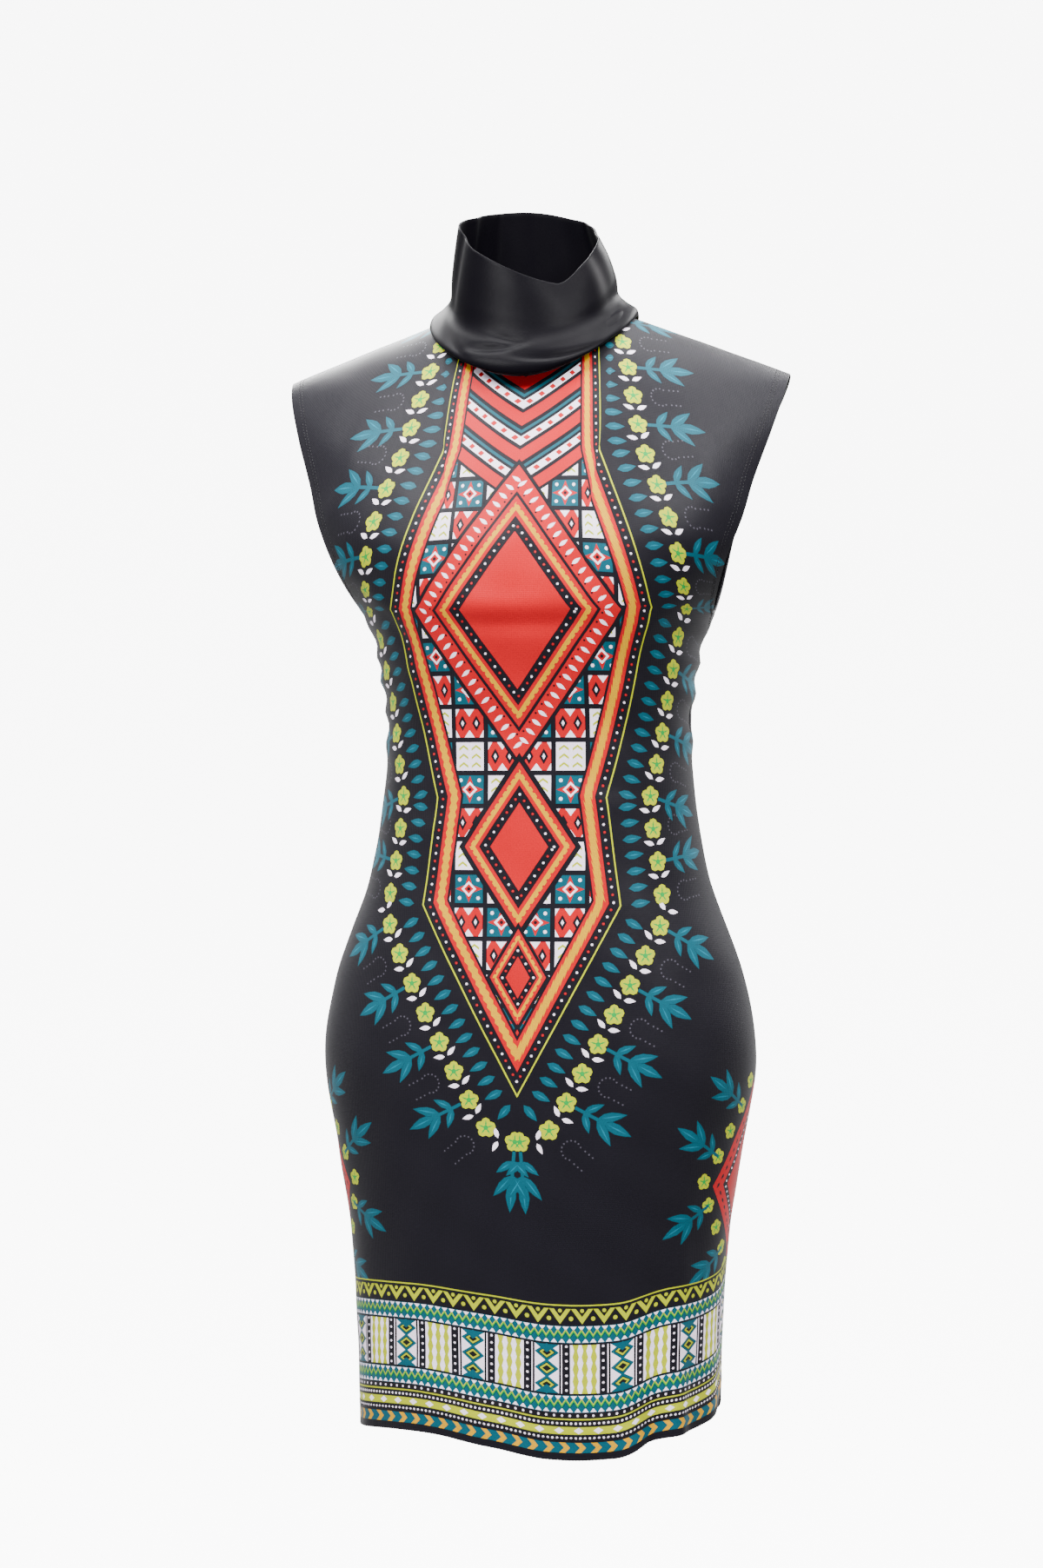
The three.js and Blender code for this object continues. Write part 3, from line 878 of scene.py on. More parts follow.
def block_row(half, top, low):
    """Cream blocks with wavy lime stripes between posts of stacked lozenges."""
    pitch = 62
    middle = (top + low) / 2
    steps = 8
    high = (top - low) / steps
    rings = (("teal", 10, 7.6), ("ground", 7, 5.1), ("lime", 6, 4.3), ("ground", 3.8, 2.6))
    for x in np.arange(-half - half % pitch, half, pitch):
        yield "cream", box(x, low, x + 24, top)
        for stripe in (2, 9.4, 16.8):
            left = [(x + stripe + (1.4 if k % 2 else 0), low + k * high) for k in range(steps + 1)]
            right = [(a + 5.2 - (2.8 if k % 2 else 0), b) for k, (a, b) in enumerate(left)]
            yield "lime", left + right[::-1]
        for post in (27, 59):
            for k in range(7):
                yield "cream", dot(x + post, low + 2.6 + k * 6, 1.15)
        for left, right in ((30.4, 31.4), (54.6, 55.6), (33, 53)):
            yield "cream", box(x + left, low, x + right, top)
        for k in (-1, 0, 1):
            for ink, wide, tall in rings:
                yield ink, diamond(x + 43, middle + k * 13.2, wide, tall)
        for k in (-1, 1):
            yield "teal", [(x + 33, middle + k * 20), (x + 53, middle + k * 20), (x + 43, middle + k * 13)]


def hem_border(half):
    """Bands of common shapes, which follow the hem down to its dark edge."""
    top = HEM_BORDER_TOP
    yield "ground", box(-half, HEM_HEIGHT - 5, half, top)
    yield from vee_row(half, top)
    yield from zigzag_band(half, top - 17.5)
    yield from block_row(half, top - 33, top - 73)
    yield from zigzag_band(half, top - 74.5)
    yield "lime", box(-half, top - 94.6, half, top - 93.4)
    for low, pitch in ((91, 6.4), (97.4, 3.8), (109.4, 3.8)):
        for x in np.arange(-half, half, pitch):
            yield "cream", dot(x, top - low, 1.1)
    yield "lime", box(-half, top - 106.4, half, top - 100.2)
    for x in np.arange(-half, half, 16):
        middle = top - 103.3
        yield "cream", [(x, middle), (x + 4, middle + 2.7), (x + 8, middle), (x + 4, middle - 2.7)]
    yield "teal", box(-half, top - 121.4, half, top - 113)
    for x in np.arange(-half, half, 13):
        high, middle, low = top - 113, top - 117.2, top - 121.4
        upper = [(x, high), (x + 5, high), (x + 9, middle)]
        yield "yellow", upper + [(x + 5, low), (x, low), (x + 4, middle)]


def printed_shapes(cloth):
    """Every printed shape of a panel in the order of printing, as an ink's name and an outline."""
    yield from field_filling()
    yield from field_border()
    half_field = FIELD[len(FIELD) // 2 :]
    yield from mirrored(leafy_border(half_field, 37))
    yield from mirrored(hip_patch(cloth))
    yield from hem_border(cloth.half_girth(HEM_HEIGHT) + 10)


def finely(shape):
    """A shape's outline with its long edges divided, anticlockwise."""
    points = np.array(shape, float)
    nexts = np.roll(points, -1, axis=0)
    area = np.sum(points[:, 0] * nexts[:, 1] - nexts[:, 0] * points[:, 1])
    if area < 0:
        points = points[::-1]
        nexts = np.roll(points, -1, axis=0)
    fine = []
    for start, end in zip(points, nexts):
        count = max(1, math.ceil(np.linalg.norm(end - start) / PRINT_STEP))
        fine += [tuple(start + (end - start) * k / count) for k in range(count)]
    return fine


def cut_by_print(cloth):
    """The panel's printed face.

    Returns its points, normals and flat places, its triangles and the ink of each, and the
    number that each point of the cloth's grid has among the points.
    """
    flat = np.stack([cloth.out.ravel(), cloth.up.ravel()], axis=1)
    places = [Vector(place) for place in flat.tolist()]
    faces = [cloth.outline()]
    ink_of_face = [0]
    for ink, shape in printed_shapes(cloth):
        fine = finely(shape)
        faces.append(list(range(len(places), len(places) + len(fine))))
        places += [Vector(place) for place in fine]
        ink_of_face.append(INKS.index(ink))

    found = delaunay_2d_cdt(places, [], faces, 1, 1e-4, True)
    cut_places, triangles, from_place, from_face = found[0], found[2], found[3], found[5]
    kept = [k for k, shapes in enumerate(from_face) if 0 in shapes]
    inks = np.array([ink_of_face[max(from_face[k])] for k in kept])
    triangles = np.array([triangles[k] for k in kept])

    used, triangles = np.unique(triangles, return_inverse=True)
    triangles = triangles.reshape(-1, 3)
    out = np.array([cut_places[k].x for k in used])
    up = np.array([cut_places[k].y for k in used])
    row, column = cloth.find(out, up)
    columns = cloth.out.shape[1]
    vertex_of = np.zeros(len(flat), int)
    for place, origin in enumerate(used):
        for number in from_place[origin]:
            if number < len(flat):
                row[place], column[place] = divmod(number, columns)
                vertex_of[number] = place
    points, normals = cloth.at(row, column)
    return points, normals, np.stack([out, up], axis=1), triangles, inks, vertex_of


def edge_walk(triangles):
    """The directed edges that only one triangle has."""
    edges = np.concatenate([triangles[:, [0, 1]], triangles[:, [1, 2]], triangles[:, [2, 0]]])
    back = {(b, a) for a, b in edges.tolist()}
    return [edge for edge in map(tuple, edges.tolist()) if edge not in back]


def closed_shell(cloth, points, normals, triangles, vertex_of):
    """The printed face, a plain inner face and a rounded edge, as one thin closed body."""
    rows, columns = cloth.out.shape
    inward = -cloth.normals.reshape(-1, 3)
    walls = cloth.walls.reshape(-1, 1)
    inner = cloth.points.reshape(-1, 3) + inward * walls
    count = len(points)
    faces = triangles.tolist()
    for low in range(count, count + (rows - 1) * columns, columns):
        for k in range(low, low + columns - 1):
            faces.append((k, k + columns, k + columns + 1, k + 1))

    loop = cloth.outline()
    corners = vertex_of[loop]
    along = np.roll(points[corners], -1, axis=0) - np.roll(points[corners], 1, axis=0)
    outwards = unit(np.cross(along, normals[corners]))
    middles = (points[corners] + inner[loop]) / 2 + outwards * walls[loop] * EDGE_ROUNDING
    after = dict(edge_walk(triangles))
    first = count + len(inner)
    for k, corner in enumerate(loop):
        beyond = (k + 1) % len(loop)
        chain = [corners[k]]
        while chain[-1] != corners[beyond]:
            chain.append(after[chain[-1]])
        faces.append((*chain[::-1], first + k, first + beyond))
        faces.append((first + beyond, first + k, count + corner, count + loop[beyond]))
    all_points = np.concatenate([points, inner, middles])
    all_normals = np.concatenate([normals, inward, outwards])
    return all_points, faces, all_normals


def make_panel(cloth, print_inks):
    """One printed panel as a closed shell, with its inks and its flat places."""
    points, normals, flat, triangles, inks, vertex_of = cut_by_print(cloth)
    shell, faces, shell_normals = closed_shell(cloth, points, normals, triangles, vertex_of)
    piece = new_piece(f"{cloth.panel}_panel_cloth", shell, faces, shell_normals)
    mesh = piece.data
    mesh.materials.append(finish(printed_polyester_jersey))
    mesh.materials.append(finish(jersey_wrong_side))
    printed = len(triangles)
    rows, columns = cloth.out.shape
    slots = np.zeros(len(faces), int)
    slots[printed : printed + (rows - 1) * (columns - 1)] = 1
    mesh.polygons.foreach_set("material_index", slots)

    colours = np.array([getattr(print_inks, name)[:] for name in INKS])
    face_inks = np.zeros(len(faces), int)
    face_inks[:printed] = inks
    sides = np.array([len(face) for face in faces])
    ink_layer = mesh.color_attributes.new("ink", "FLOAT_COLOR", "CORNER")
    ink_layer.data.foreach_set("color", colours[np.repeat(face_inks, sides)].ravel())

    corners = np.empty(len(mesh.loops), int)
    mesh.loops.foreach_get("vertex_index", corners)
    grid = np.stack([cloth.out.ravel(), cloth.up.ravel()], axis=1)
    flat_of = np.concatenate([flat, grid, grid[cloth.outline()]])
    cloth_map = mesh.uv_layers.new(name="cloth")
    cloth_map.data.foreach_set("uv", (flat_of[corners] * MM).ravel())
    return piece


# ------------------------------------------------------------------ the collar

COLLAR_COLUMNS = 216
COLLAR_ROWS = 84
RIM_STEPS = 4


def neckline_height(around):
    """The height of the neckline at angles round the neck from the centre front to the right."""
    top = armhole_angle(1.0)
    across = np.arcsin(NECK.half * np.sin(around) / SHOULDER_HALF * math.sin(top)) / top
    front = panel_points("front", across, UNDERARM_HEIGHT, 1.0)[..., 2]
    back = panel_points("back", across, UNDERARM_HEIGHT, 1.0)[..., 2]
    return np.where(np.cos(around) > 0, front, back)


def collar_grid():
    """The collar's outer face, from the seam up to the rim."""
    around = np.linspace(0, math.tau, COLLAR_COLUMNS, endpoint=False)[None, :]
    at = np.linspace(0, COLLAR_RINGS[-1].at, COLLAR_ROWS)[:, None]
    ring = {name: through(COLLAR_RINGS, name, at, "at") for name in Ring._fields[1:]}
    towards_front, towards_side = np.cos(around), np.sin(around)
    in_front = towards_front > 0

    here = neckline_height(around)
    front, side, back = neckline_height(np.array([0, math.pi / 2, math.pi]))
    middle = np.where(in_front, front, back)
    sagging = side + (middle - side) * np.abs(towards_front) ** COLLAR_SAG
    base = ring["follow"] * here + (1 - ring["follow"]) * sagging
    middle_rise = towards_front**2 * np.where(in_front, ring["front"], ring["back"])
    side_rise = towards_side**2 * np.where(towards_side > 0, ring["right"], ring["left"])
    degrees = np.degrees(around)
    turned = np.where(degrees > RIM_TURNS_AT, degrees - 360, degrees)
    rim = through(RIM_LINE, "height", turned, "around")
    climb = ring["climb"]
    height = (base + middle_rise + side_rise) * (1 - climb) + rim * climb

    corner = bump(degrees - COLLAR_CORNER_AT, COLLAR_CORNER_SPREAD)
    half = ring["half"] + COLLAR_CORNER_REACH * climb * corner
    depth = np.where(in_front, ring["fore"], ring["aft"])
    x = ring["shift"] + half * towards_side
    points = np.stack([x, -depth * towards_front, height], axis=-1)
    return points + grid_normals(points, looped=True) * collar_lift(degrees, at)[..., None]


def collar_lift(degrees, at):
    lift = np.zeros(np.broadcast(degrees, at).shape)
    for crease in COLLAR_CREASES:
        away = (degrees - crease.around + 180) % 360 - 180
        along = away / crease.length
        off = at - crease.at - crease.turn * away / 360
        lift -= crease.depth * np.maximum(1 - along**2, 0) ** 2 * bump(off, crease.width)
    stands = smooth_step(at, 6, 8.5)
    for fold in COLLAR_FOLDS:
        away = (degrees - fold.around + 180) % 360 - 180
        lift += fold.depth * stands * bump(away, fold.spread)
    return lift


def make_collar(outer, wall):
    """The collar as one closed shell: its outer face, its folded rim and its inner face."""
    normals = grid_normals(outer, looped=True)
    inner = outer - normals * wall
    upward = unit(outer[-1] - outer[-2])
    rim = []
    for k in range(1, RIM_STEPS):
        angle = math.pi * k / RIM_STEPS
        middle = (outer[-1] + inner[-1]) / 2
        towards = normals[-1] * math.cos(angle) + upward * math.sin(angle)
        rim.append(middle + towards * wall / 2)
    rows = np.concatenate([outer, rim, inner[::-1]])
    count, columns = rows.shape[:2]
    faces = []
    for i in range(count):
        above = (i + 1) % count
        for j in range(columns):
            right = (j + 1) % columns
            low, high = i * columns, above * columns
            faces.append((low + j, low + right, high + right, high + j))
    piece = new_piece("collar_satin", rows.reshape(-1, 3), faces)
    piece.data.materials.append(finish(black_polyester_satin))
    return piece


# ------------------------------------------------------------------ sewing

STITCH_SIDES = 6
STITCH_RINGS = 4
HEM_SAMPLES = 220
CORNER_SAMPLES = 7
SEAM_MARGIN = 3
STITCH_LIFT = 0.05


def stitch_tree():
    """Loops of thread at an even pitch along the edges of a mesh, each laid along its edge."""
    tree = bpy.data.node_groups.new("stitches", "GeometryNodeTree")
    inputs = {"Seam": "Geometry", "Pitch": "Float", "Length": "Float", "Thread": "Float"}
    for name, kind in {**inputs, "Material": "Material"}.items():
        tree.interface.new_socket(name, in_out="INPUT", socket_type=f"NodeSocket{kind}")
    tree.interface.new_socket("Stitches", in_out="OUTPUT", socket_type="NodeSocketGeometry")
    given = add_node(tree, "NodeGroupInput")
    seam = add_node(tree, "GeometryNodeMeshToCurve", {"Mesh": given["Seam"]})
    along = {"mode": "LENGTH", "Curve": seam["Curve"], "Length": given["Pitch"]}
    spots = add_node(tree, "GeometryNodeResampleCurve", along)
    way = add_node(tree, "GeometryNodeInputTangent")
    upright = {"axis": "Z", "Vector": way["Tangent"]}
    turn = add_node(tree, "FunctionNodeAlignRotationToVector", upright)
    ball = {"Segments": STITCH_SIDES, "Rings": STITCH_RINGS, "Radius": 0.5}
    loop = add_node(tree, "GeometryNodeMeshUVSphere", ball)
    thick = given["Thread"]
    size = add_node(tree, "ShaderNodeCombineXYZ", {"X": thick, "Y": thick, "Z": given["Length"]})
    laid = {"Instance": loop["Mesh"], "Rotation": turn["Rotation"], "Scale": size["Vector"]}
    laid["Points"] = spots["Curve"]
    placed = add_node(tree, "GeometryNodeInstanceOnPoints", laid)
    real = add_node(tree, "GeometryNodeRealizeInstances", {"Geometry": placed["Instances"]})
    thread = {"Geometry": real["Geometry"], "Material": given["Material"]}
    finished = add_node(tree, "GeometryNodeSetMaterial", thread)
    add_node(tree, "NodeGroupOutput", {"Stitches": finished["Geometry"]})
    return tree


def sew(name, lines, pitch, length_of_thread, thickness):
    """Stitches along lines of points in millimetres, as one plain mesh."""
    points = []
    edges = []
    for line in lines:
        first = len(points)
        points += list(line)
        edges += [(first + k, first + k + 1) for k in range(len(line) - 1)]
    seam = bpy.data.meshes.new(f"{name}_seam")
    seam.from_pydata((np.asarray(points) * MM).tolist(), edges, [])
    piece = bpy.data.objects.new(name, seam)
    bpy.context.collection.objects.link(piece)
    modifier = piece.modifiers.new("stitches", "NODES")
    modifier.node_group = stitch_tree()
    thread = finish(spun_polyester_thread)
    values = {"Pitch": pitch, "Length": length_of_thread, "Thread": thickness, "Material": thread}
    for item in modifier.node_group.interface.items_tree:
        if item.name in values:
            modifier[item.identifier] = values[item.name]
    seen = piece.evaluated_get(bpy.context.evaluated_depsgraph_get())
    sewn = bpy.data.meshes.new_from_object(seen)
    piece.modifiers.remove(modifier)
    piece.data = sewn
    sewn.shade_smooth()
    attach(piece, "root")
    return piece


def on_cloth(cloth, row, column):
    """Places for thread on a panel at rows and columns given as fractions."""
    points, normals = cloth.at(row, column)
    return points + normals * STITCH_LIFT


def hem_line(cloth, above):
    """A line round a panel at a height over its hem."""
    up = np.full(HEM_SAMPLES, HEM_HEIGHT + above)
    half = cloth.half_girth(HEM_HEIGHT + above) - SEAM_MARGIN
    row, column = cloth.find(np.linspace(-half, half, HEM_SAMPLES), up)
    return on_cloth(cloth, row, column)


def armhole_line(cloth, inset, side):
    """A line inside an armhole's edge, from the side seam round and up to the shoulder seam."""
    numbers = np.arange(cloth.out.shape[1])
    last_level = len(cloth.levels) - 1
    angles = np.linspace(0, math.pi / 2, CORNER_SAMPLES)
    corner = np.interp(
        UNDERARM_HEIGHT - inset * np.cos(angles), cloth.levels, np.arange(last_level + 1)
    )
    above = np.arange(last_level + 1, len(cloth.out) - 3)
    row = np.concatenate([corner, above])
    insets = np.concatenate([inset * np.sin(angles), np.full(len(above), inset)])
    column = []
    for at, step_in in zip(row, insets):
        low = min(int(at), len(cloth.out) - 2)
        line = cloth.out[low] + (cloth.out[low + 1] - cloth.out[low]) * (at - low)
        edge = line[-1] - step_in if side > 0 else line[0] + step_in
        column.append(np.interp(edge, line, numbers))
    return on_cloth(cloth, row, np.array(column))


def sew_panel(cloth, sizes):
    """The twin-needle rows of a panel's hem and armholes, and the loops over its hem's edge."""
    low, outer = sizes.hem_stitches / MM, sizes.armhole_stitches / MM
    gap = sizes.needle_gap / MM
    lines = [hem_line(cloth, low), hem_line(cloth, low + gap)]
    for side in (-1, 1):
        lines += [armhole_line(cloth, outer, side), armhole_line(cloth, outer + gap, side)]
    thread = (sizes.stitch_pitch, sizes.stitch_length, sizes.thread)
    stitches = sew(f"{cloth.panel}_stitches", lines, *thread)
    edge = cloth.points[0, 1:-1] - cloth.normals[0, 1:-1] * cloth.walls[0, 1:-1, None] / 2
    loops = (sizes.edge_pitch, sizes.edge_pitch, sizes.edge_loop)
    overlock = sew(f"{cloth.panel}_overlock", [edge], *loops)
    return [stitches, overlock]


# ------------------------------------------------------------------ finishes


def add_node(tree, kind, values=()):
    """Add a node and return its outputs. A value that is a socket feeds the input of its name."""
    node = tree.nodes.new(kind)
    for name, value in dict(values).items():
        if isinstance(value, bpy.types.NodeSocket):
            tree.links.new(value, node.inputs[name])
        elif name in node.inputs:
            node.inputs[name].default_value = value
        else:
            setattr(node, name, value)
    return node.outputs


def finish(fill):
    """The material named as the function that gives its values, with its nodes made anew."""
    name = fill.__name__
    material = bpy.data.materials.get(name) or bpy.data.materials.new(name)
    material.use_nodes = True
    tree = material.node_tree
    tree.nodes.clear()
    surface = add_node(tree, "ShaderNodeBsdfPrincipled", fill(tree))
    add_node(tree, "ShaderNodeOutputMaterial", {"Surface": surface["BSDF"]})
    return material


KNIT_PITCH = 1.6  # mm; the real wales are 0.7 mm apart, too fine to show
WAVES_AT_SCALE_ONE = 20 / math.tau  # bands of a wave texture in one unit


def knit_bump(tree, place, strength):
    """Fine upright wales with a slight cross rib, as a normal."""
    scale = 1 / (KNIT_PITCH * MM) / WAVES_AT_SCALE_ONE
    upright = {"bands_direction": "X", "Scale": scale, "Distortion": 0.6, "Detail": 2.0}
    wales = add_node(tree, "ShaderNodeTexWave", {**upright, "Vector": place})
    level = {"bands_direction": "Y", "Scale": scale * 1.3, "Distortion": 0.4}
    rows = add_node(tree, "ShaderNodeTexWave", {**level, "Vector": place})
    both = add_node(tree, "ShaderNodeMath", {"operation": "ADD", 0: wales["Fac"], 1: rows["Fac"]})
    depth = {"Strength": strength, "Distance": 0.0002, "Height": both["Value"]}
    return add_node(tree, "ShaderNodeBump", depth)["Normal"]


def printed_polyester_jersey(tree):
    """Polyester stretch jersey, knitted fine and printed on its face: inks that take the knit."""
    place = add_node(tree, "ShaderNodeUVMap", {"uv_map": "cloth"})["UV"]
    ink = add_node(tree, "ShaderNodeAttribute", {"attribute_name": "ink"})
    grain = {"Scale": 900.0, "Detail": 2.0, "Roughness": 0.6, "Vector": place}
    speckle = add_node(tree, "ShaderNodeTexNoise", grain)
    span = {"From Min": 0.3, "From Max": 0.7, "To Min": 0.86, "To Max": 1.1}
    shade = add_node(tree, "ShaderNodeMapRange", {**span, "Value": speckle["Fac"]})
    shaded = {"Color": ink["Color"], "Value": shade["Result"]}
    return {
        "Base Color": add_node(tree, "ShaderNodeHueSaturation", shaded)["Color"],
        "Normal": knit_bump(tree, place, 0.25),
        "Roughness": 0.44,
        "Specular IOR Level": 0.12,
        "Sheen Weight": 0.09,
    }


def jersey_wrong_side(tree):
    """The unprinted back of the jersey, dark where the ink has gone through."""
    colours = bpy.context.scene.dress_colours
    place = add_node(tree, "ShaderNodeUVMap", {"uv_map": "cloth"})["UV"]
    mottle = add_node(tree, "ShaderNodeTexNoise", {"Scale": 400.0, "Detail": 3.0, "Vector": place})
    inks = {"data_type": "RGBA", "A": colours.wrong_side, "B": colours.wrong_side_pale}
    return {
        "Base Color": add_node(tree, "ShaderNodeMix", {**inks, "Factor": mottle["Fac"]})["Result"],
        "Normal": knit_bump(tree, place, 0.35),
        "Roughness": 0.8,
        "Specular IOR Level": 0.1,
    }


def black_polyester_satin(tree):
    """Black polyester satin, whose long floats give a smooth soft gloss."""
    place = add_node(tree, "ShaderNodeTexCoord")["Object"]
    mottle = add_node(tree, "ShaderNodeTexNoise", {"Scale": 60.0, "Detail": 3.0, "Vector": place})
    span = {"To Min": 0.36, "To Max": 0.48, "Value": mottle["Fac"]}
    weave = add_node(tree, "ShaderNodeTexNoise", {"Scale": 1400.0, "Detail": 1.0, "Vector": place})
    relief = {"Strength": 0.12, "Distance": 0.0002, "Height": weave["Fac"]}
    return {
        "Base Color": bpy.context.scene.dress_colours.satin,
        "Normal": add_node(tree, "ShaderNodeBump", relief)["Normal"],
        "Roughness": add_node(tree, "ShaderNodeMapRange", span)["Result"],
        "Specular IOR Level": 0.032,
        "Sheen Weight": 0.05,
        "Sheen Roughness": 0.3,
    }


def spun_polyester_thread(tree):
    """Spun polyester sewing thread: dull, with a fine twist that breaks up the light."""
    place = add_node(tree, "ShaderNodeTexCoord")["Object"]
    twist = add_node(tree, "ShaderNodeTexNoise", {"Scale": 2500.0, "Detail": 1.0, "Vector": place})
    relief = {"Strength": 0.5, "Distance": 0.0003, "Height": twist["Fac"]}
    return {
        "Base Color": bpy.context.scene.dress_colours.thread,
        "Normal": add_node(tree, "ShaderNodeBump", relief)["Normal"],
        "Roughness": 0.6,
        "Specular IOR Level": 0.4,
    }


def matt_white_paper(tree):
    """Matt white paper that looks evenly lit whatever the lamps do."""
    return {
        "Base Color": linear("B0B0B0"),
        "Roughness": 0.9,
        "Emission Color": linear("FFFFFF"),
        "Emission Strength": PAPER_GLOW,
    }


# ------------------------------------------------------------------ the stage

CAMERA_AZIMUTH = 10  # degrees to the right of straight on
CAMERA_DISTANCE = 3000
CAMERA_HEIGHT = -377
CAMERA_ASIDE = 15  # how far it stands to the left of the line to the dress's axis
FRAME_HEIGHT = 1317  # what the frame's height shows at the dress's axis
SENSOR = 36


def make_camera():
    data = bpy.data.cameras.new("camera")
    data.sensor_width = SENSOR
    data.lens = SENSOR * CAMERA_DISTANCE / FRAME_HEIGHT
    data.clip_end = 50
    camera = bpy.data.objects.new("camera", data)
    azimuth = math.radians(CAMERA_AZIMUTH)
    back = Vector((math.sin(azimuth), -math.cos(azimuth), 0))
    right = Vector((math.cos(azimuth), math.sin(azimuth), 0))
    eye = back * CAMERA_DISTANCE - right * CAMERA_ASIDE + Vector((0, 0, CAMERA_HEIGHT))
    camera.location = eye * MM
    camera.rotation_mode = "QUATERNION"
    camera.rotation_quaternion = (-back).to_track_quat("-Z", "Y")
    bpy.context.collection.objects.link(camera)
    bpy.context.scene.camera = camera


# Soft boxes, in metres and watts. One that isn't mirrored lights the cloth but shows in no gloss.
Light = namedtuple("Light", "name x y z wide tall power mirrored")
LIGHTS = table(
    Light,
    ("left_box", -1.6, -2.3, 2.2, 1.6, 1.4, 330, True),
    ("right_box", 1.9, -2.1, 2.0, 1.6, 1.4, 250, True),
    ("low_front", 0.2, -3.6, -1.1, 2.2, 0.8, 90, False),
    ("top", 0.0, 0.0, 2.4, 2.8, 1.2, 220, True),
    ("left_back", -1.5, 2.2, 2.0, 1.6, 1.4, 260, True),
    ("right_back", 1.7, 2.2, 2.0, 1.6, 1.4, 260, True),
)
WORLD_STRENGTH = 0.3
# Heights and sizes of the studio, in metres.
LIGHTS_AIM_AT = -0.4  # the dress's waist
FLOOR = -1.25
PAPER_RADIUS = 6.0
PAPER_CURVE = 3.6
PAPER_TOP = 6.0
PAPER_SIDES = 96
PAPER_CURVE_STEPS = 12
PAPER_GLOW = 8.0


def make_lights():
    aim = Vector((0, 0, LIGHTS_AIM_AT))
    for light in LIGHTS:
        data = bpy.data.lights.new(light.name, "AREA")
        data.shape = "RECTANGLE"
        data.size, data.size_y = light.wide, light.tall
        data.energy = light.power
        lamp = bpy.data.objects.new(light.name, data)
        lamp.location = (light.x, light.y, light.z)
        lamp.rotation_mode = "QUATERNION"
        lamp.rotation_quaternion = (aim - lamp.location).to_track_quat("-Z", "Y")
        lamp.visible_camera = False
        lamp.visible_glossy = light.mirrored
        bpy.context.collection.objects.link(lamp)
    world = bpy.data.worlds.new("studio")
    world.use_nodes = True
    sky = world.node_tree.nodes["Background"]
    sky.inputs["Color"].default_value = linear("FFFFFF")
    sky.inputs["Strength"].default_value = WORLD_STRENGTH
    bpy.context.scene.world = world


def make_paper():
    """White paper all round: a floor that curves up into a wall, and leaves the lighting alone."""
    profile = [(0.01, FLOOR), (2.0, FLOOR), (PAPER_RADIUS - PAPER_CURVE, FLOOR)]
    for k in range(1, PAPER_CURVE_STEPS + 1):
        angle = math.pi / 2 * k / PAPER_CURVE_STEPS
        out = PAPER_RADIUS - PAPER_CURVE * (1 - math.sin(angle))
        profile.append((out, FLOOR + PAPER_CURVE * (1 - math.cos(angle))))
    profile.append((PAPER_RADIUS, PAPER_TOP))
    turns = [math.tau * k / PAPER_SIDES for k in range(PAPER_SIDES)]
    points = [(out * math.cos(turn), out * math.sin(turn), z) for out, z in profile for turn in turns]
    faces = [tuple(range(PAPER_SIDES))]
    for ring in range(len(profile) - 1):
        low, high = ring * PAPER_SIDES, (ring + 1) * PAPER_SIDES
        for k in range(PAPER_SIDES):
            after = (k + 1) % PAPER_SIDES
            faces.append((low + k, high + k, high + after, low + after))
    paper = new_piece("studio_paper", np.array(points) / MM, faces)
    paper.data.materials.append(finish(matt_white_paper))
    paper.visible_glossy = False
    paper.visible_diffuse = False
    paper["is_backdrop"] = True


# ------------------------------------------------------------------ operators


def flat_area(cloth):
    """The area of a panel's cut in square metres, from its flat places."""
    loop = cloth.outline()
    out = cloth.out.ravel()[loop]
    up = cloth.up.ravel()[loop]
    return abs(np.sum(out * np.roll(up, -1) - np.roll(out, -1) * up)) / 2 * MM**2


def dress_panel(panel, scene):
    """Make and sew one printed panel, and print the size of its cut."""
    cloth = Cloth(panel, scene.dress_sizes)
    piece = make_panel(cloth, scene.print_inks)
    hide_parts(f"{panel}_panel")
    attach(piece, "root")
    sewing = sew_panel(cloth, scene.dress_sizes)
    width = float(np.ptp(cloth.out)) * MM
    length = float(np.ptp(cloth.up)) * MM
    area = flat_area(cloth)
    print(f"{panel} cut: {width:.3f} by {length:.3f} m, {area:.4f} square metres")


class DRESS_OT_front_panel(Operator):
    """Cut, print and shape the front"""

    bl_idname = "dress.front_panel"
    bl_label = "Front panel"

    def execute(self, context):
        dress_panel("front", context.scene)
        return {"FINISHED"}


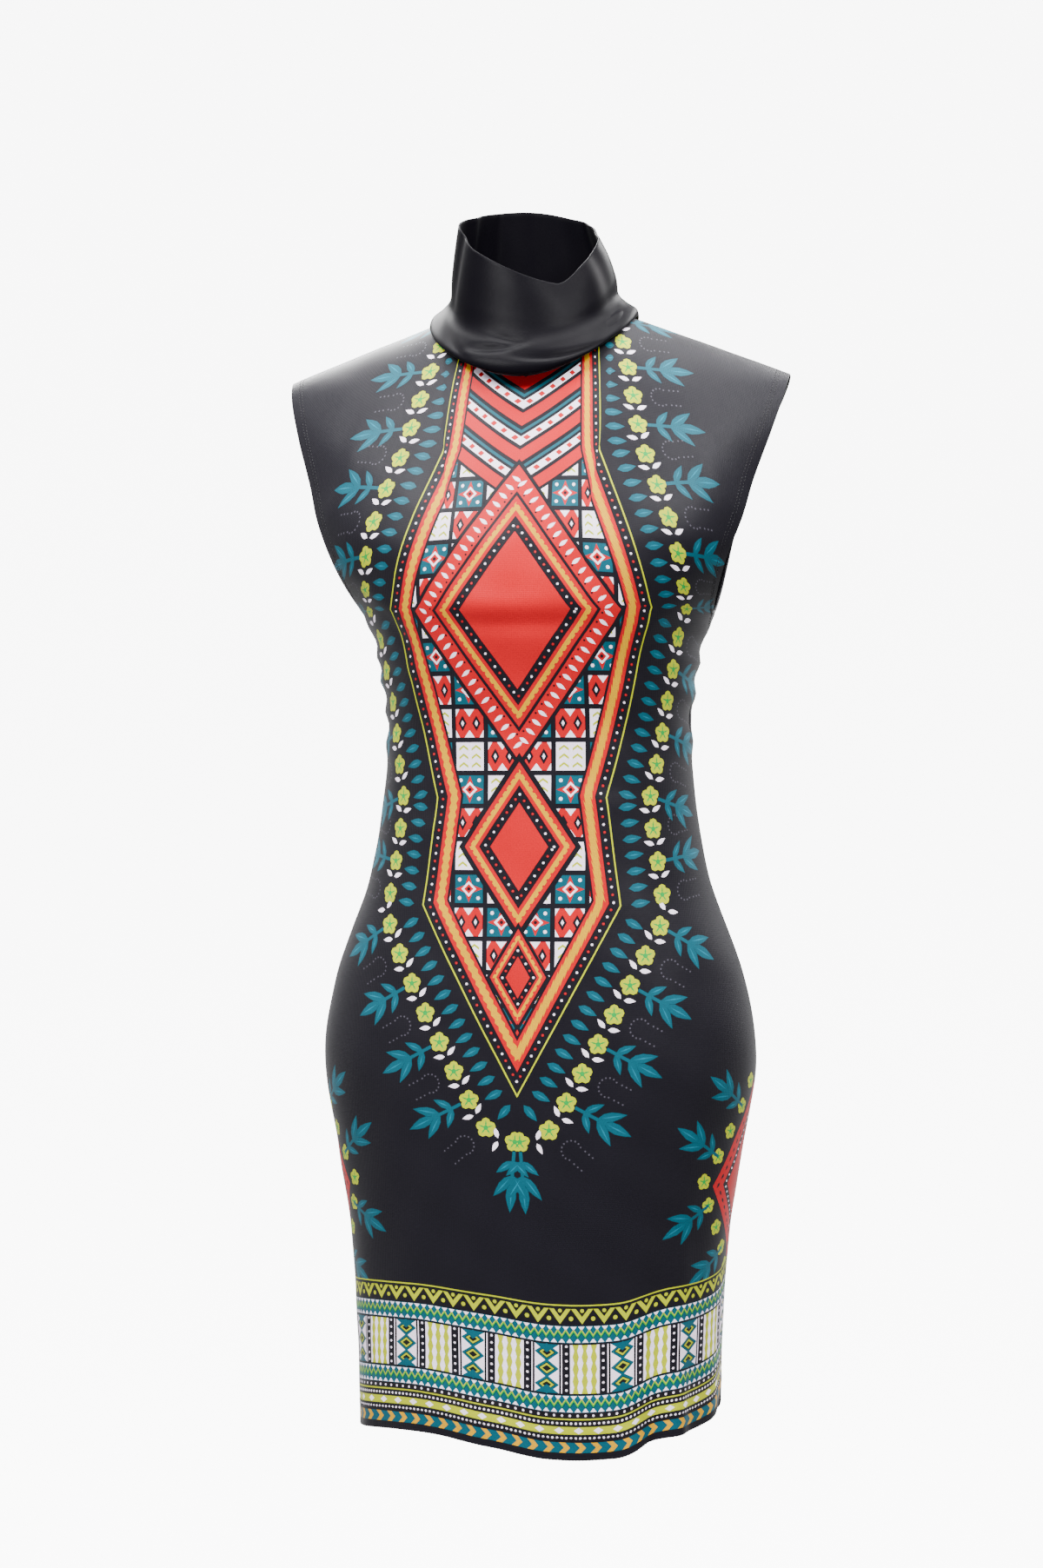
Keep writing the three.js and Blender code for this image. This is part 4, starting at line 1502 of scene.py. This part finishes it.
class DRESS_OT_back_panel(Operator):
    """Cut, print and shape the back"""

    bl_idname = "dress.back_panel"
    bl_label = "Back panel"

    def execute(self, context):
        dress_panel("back", context.scene)
        return {"FINISHED"}


class DRESS_OT_collar(Operator):
    """Roll the satin collar out over the neckline"""

    bl_idname = "dress.collar"
    bl_label = "Collar"

    def execute(self, context):
        outer = collar_grid()
        piece = make_collar(outer, context.scene.dress_sizes.satin_wall / MM)
        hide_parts("collar")
        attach(piece, "root")
        heights = steps_along(outer, 0).sum(axis=0)
        return {"FINISHED"}


class DRESS_OT_stage(Operator):
    """Set up the paper, the lights and the camera"""

    bl_idname = "dress.stage"
    bl_label = "Stage"

    def execute(self, context):
        make_camera()
        make_lights()
        make_paper()
        return {"FINISHED"}


STEPS = [DRESS_OT_front_panel, DRESS_OT_back_panel, DRESS_OT_collar, DRESS_OT_stage]


class DRESS_PT_panel(Panel):
    bl_label = "Dress"
    bl_idname = "DRESS_PT_panel"
    bl_space_type = "VIEW_3D"
    bl_region_type = "UI"
    bl_category = "Dress"

    def draw(self, context):
        scene = context.scene
        for group in (scene.dress_sizes, scene.print_inks, scene.dress_colours):
            box = self.layout.box()
            for name in group.__annotations__:
                box.prop(group, name)
        for step in STEPS:
            self.layout.operator(step.bl_idname)


CLASSES = [DressSizes, PrintInks, DressColours, *STEPS, DRESS_PT_panel]


def register():
    for each in CLASSES:
        bpy.utils.register_class(each)
    bpy.types.Scene.dress_sizes = PointerProperty(type=DressSizes)
    bpy.types.Scene.print_inks = PointerProperty(type=PrintInks)
    bpy.types.Scene.dress_colours = PointerProperty(type=DressColours)


def unregister():
    del bpy.types.Scene.dress_colours
    del bpy.types.Scene.print_inks
    del bpy.types.Scene.dress_sizes
    for each in reversed(CLASSES):
        bpy.utils.unregister_class(each)


def corners(bounds):
    return [list(corner) for corner in bounds]


def main():
    register()
    bpy.ops.dress.front_panel()
    bpy.ops.dress.back_panel()
    bpy.ops.dress.collar()
    bpy.ops.dress.stage()
    {"cad": corners(CAD_BOX), "visual": corners(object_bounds())}


if __name__ == "__main__":
    main()
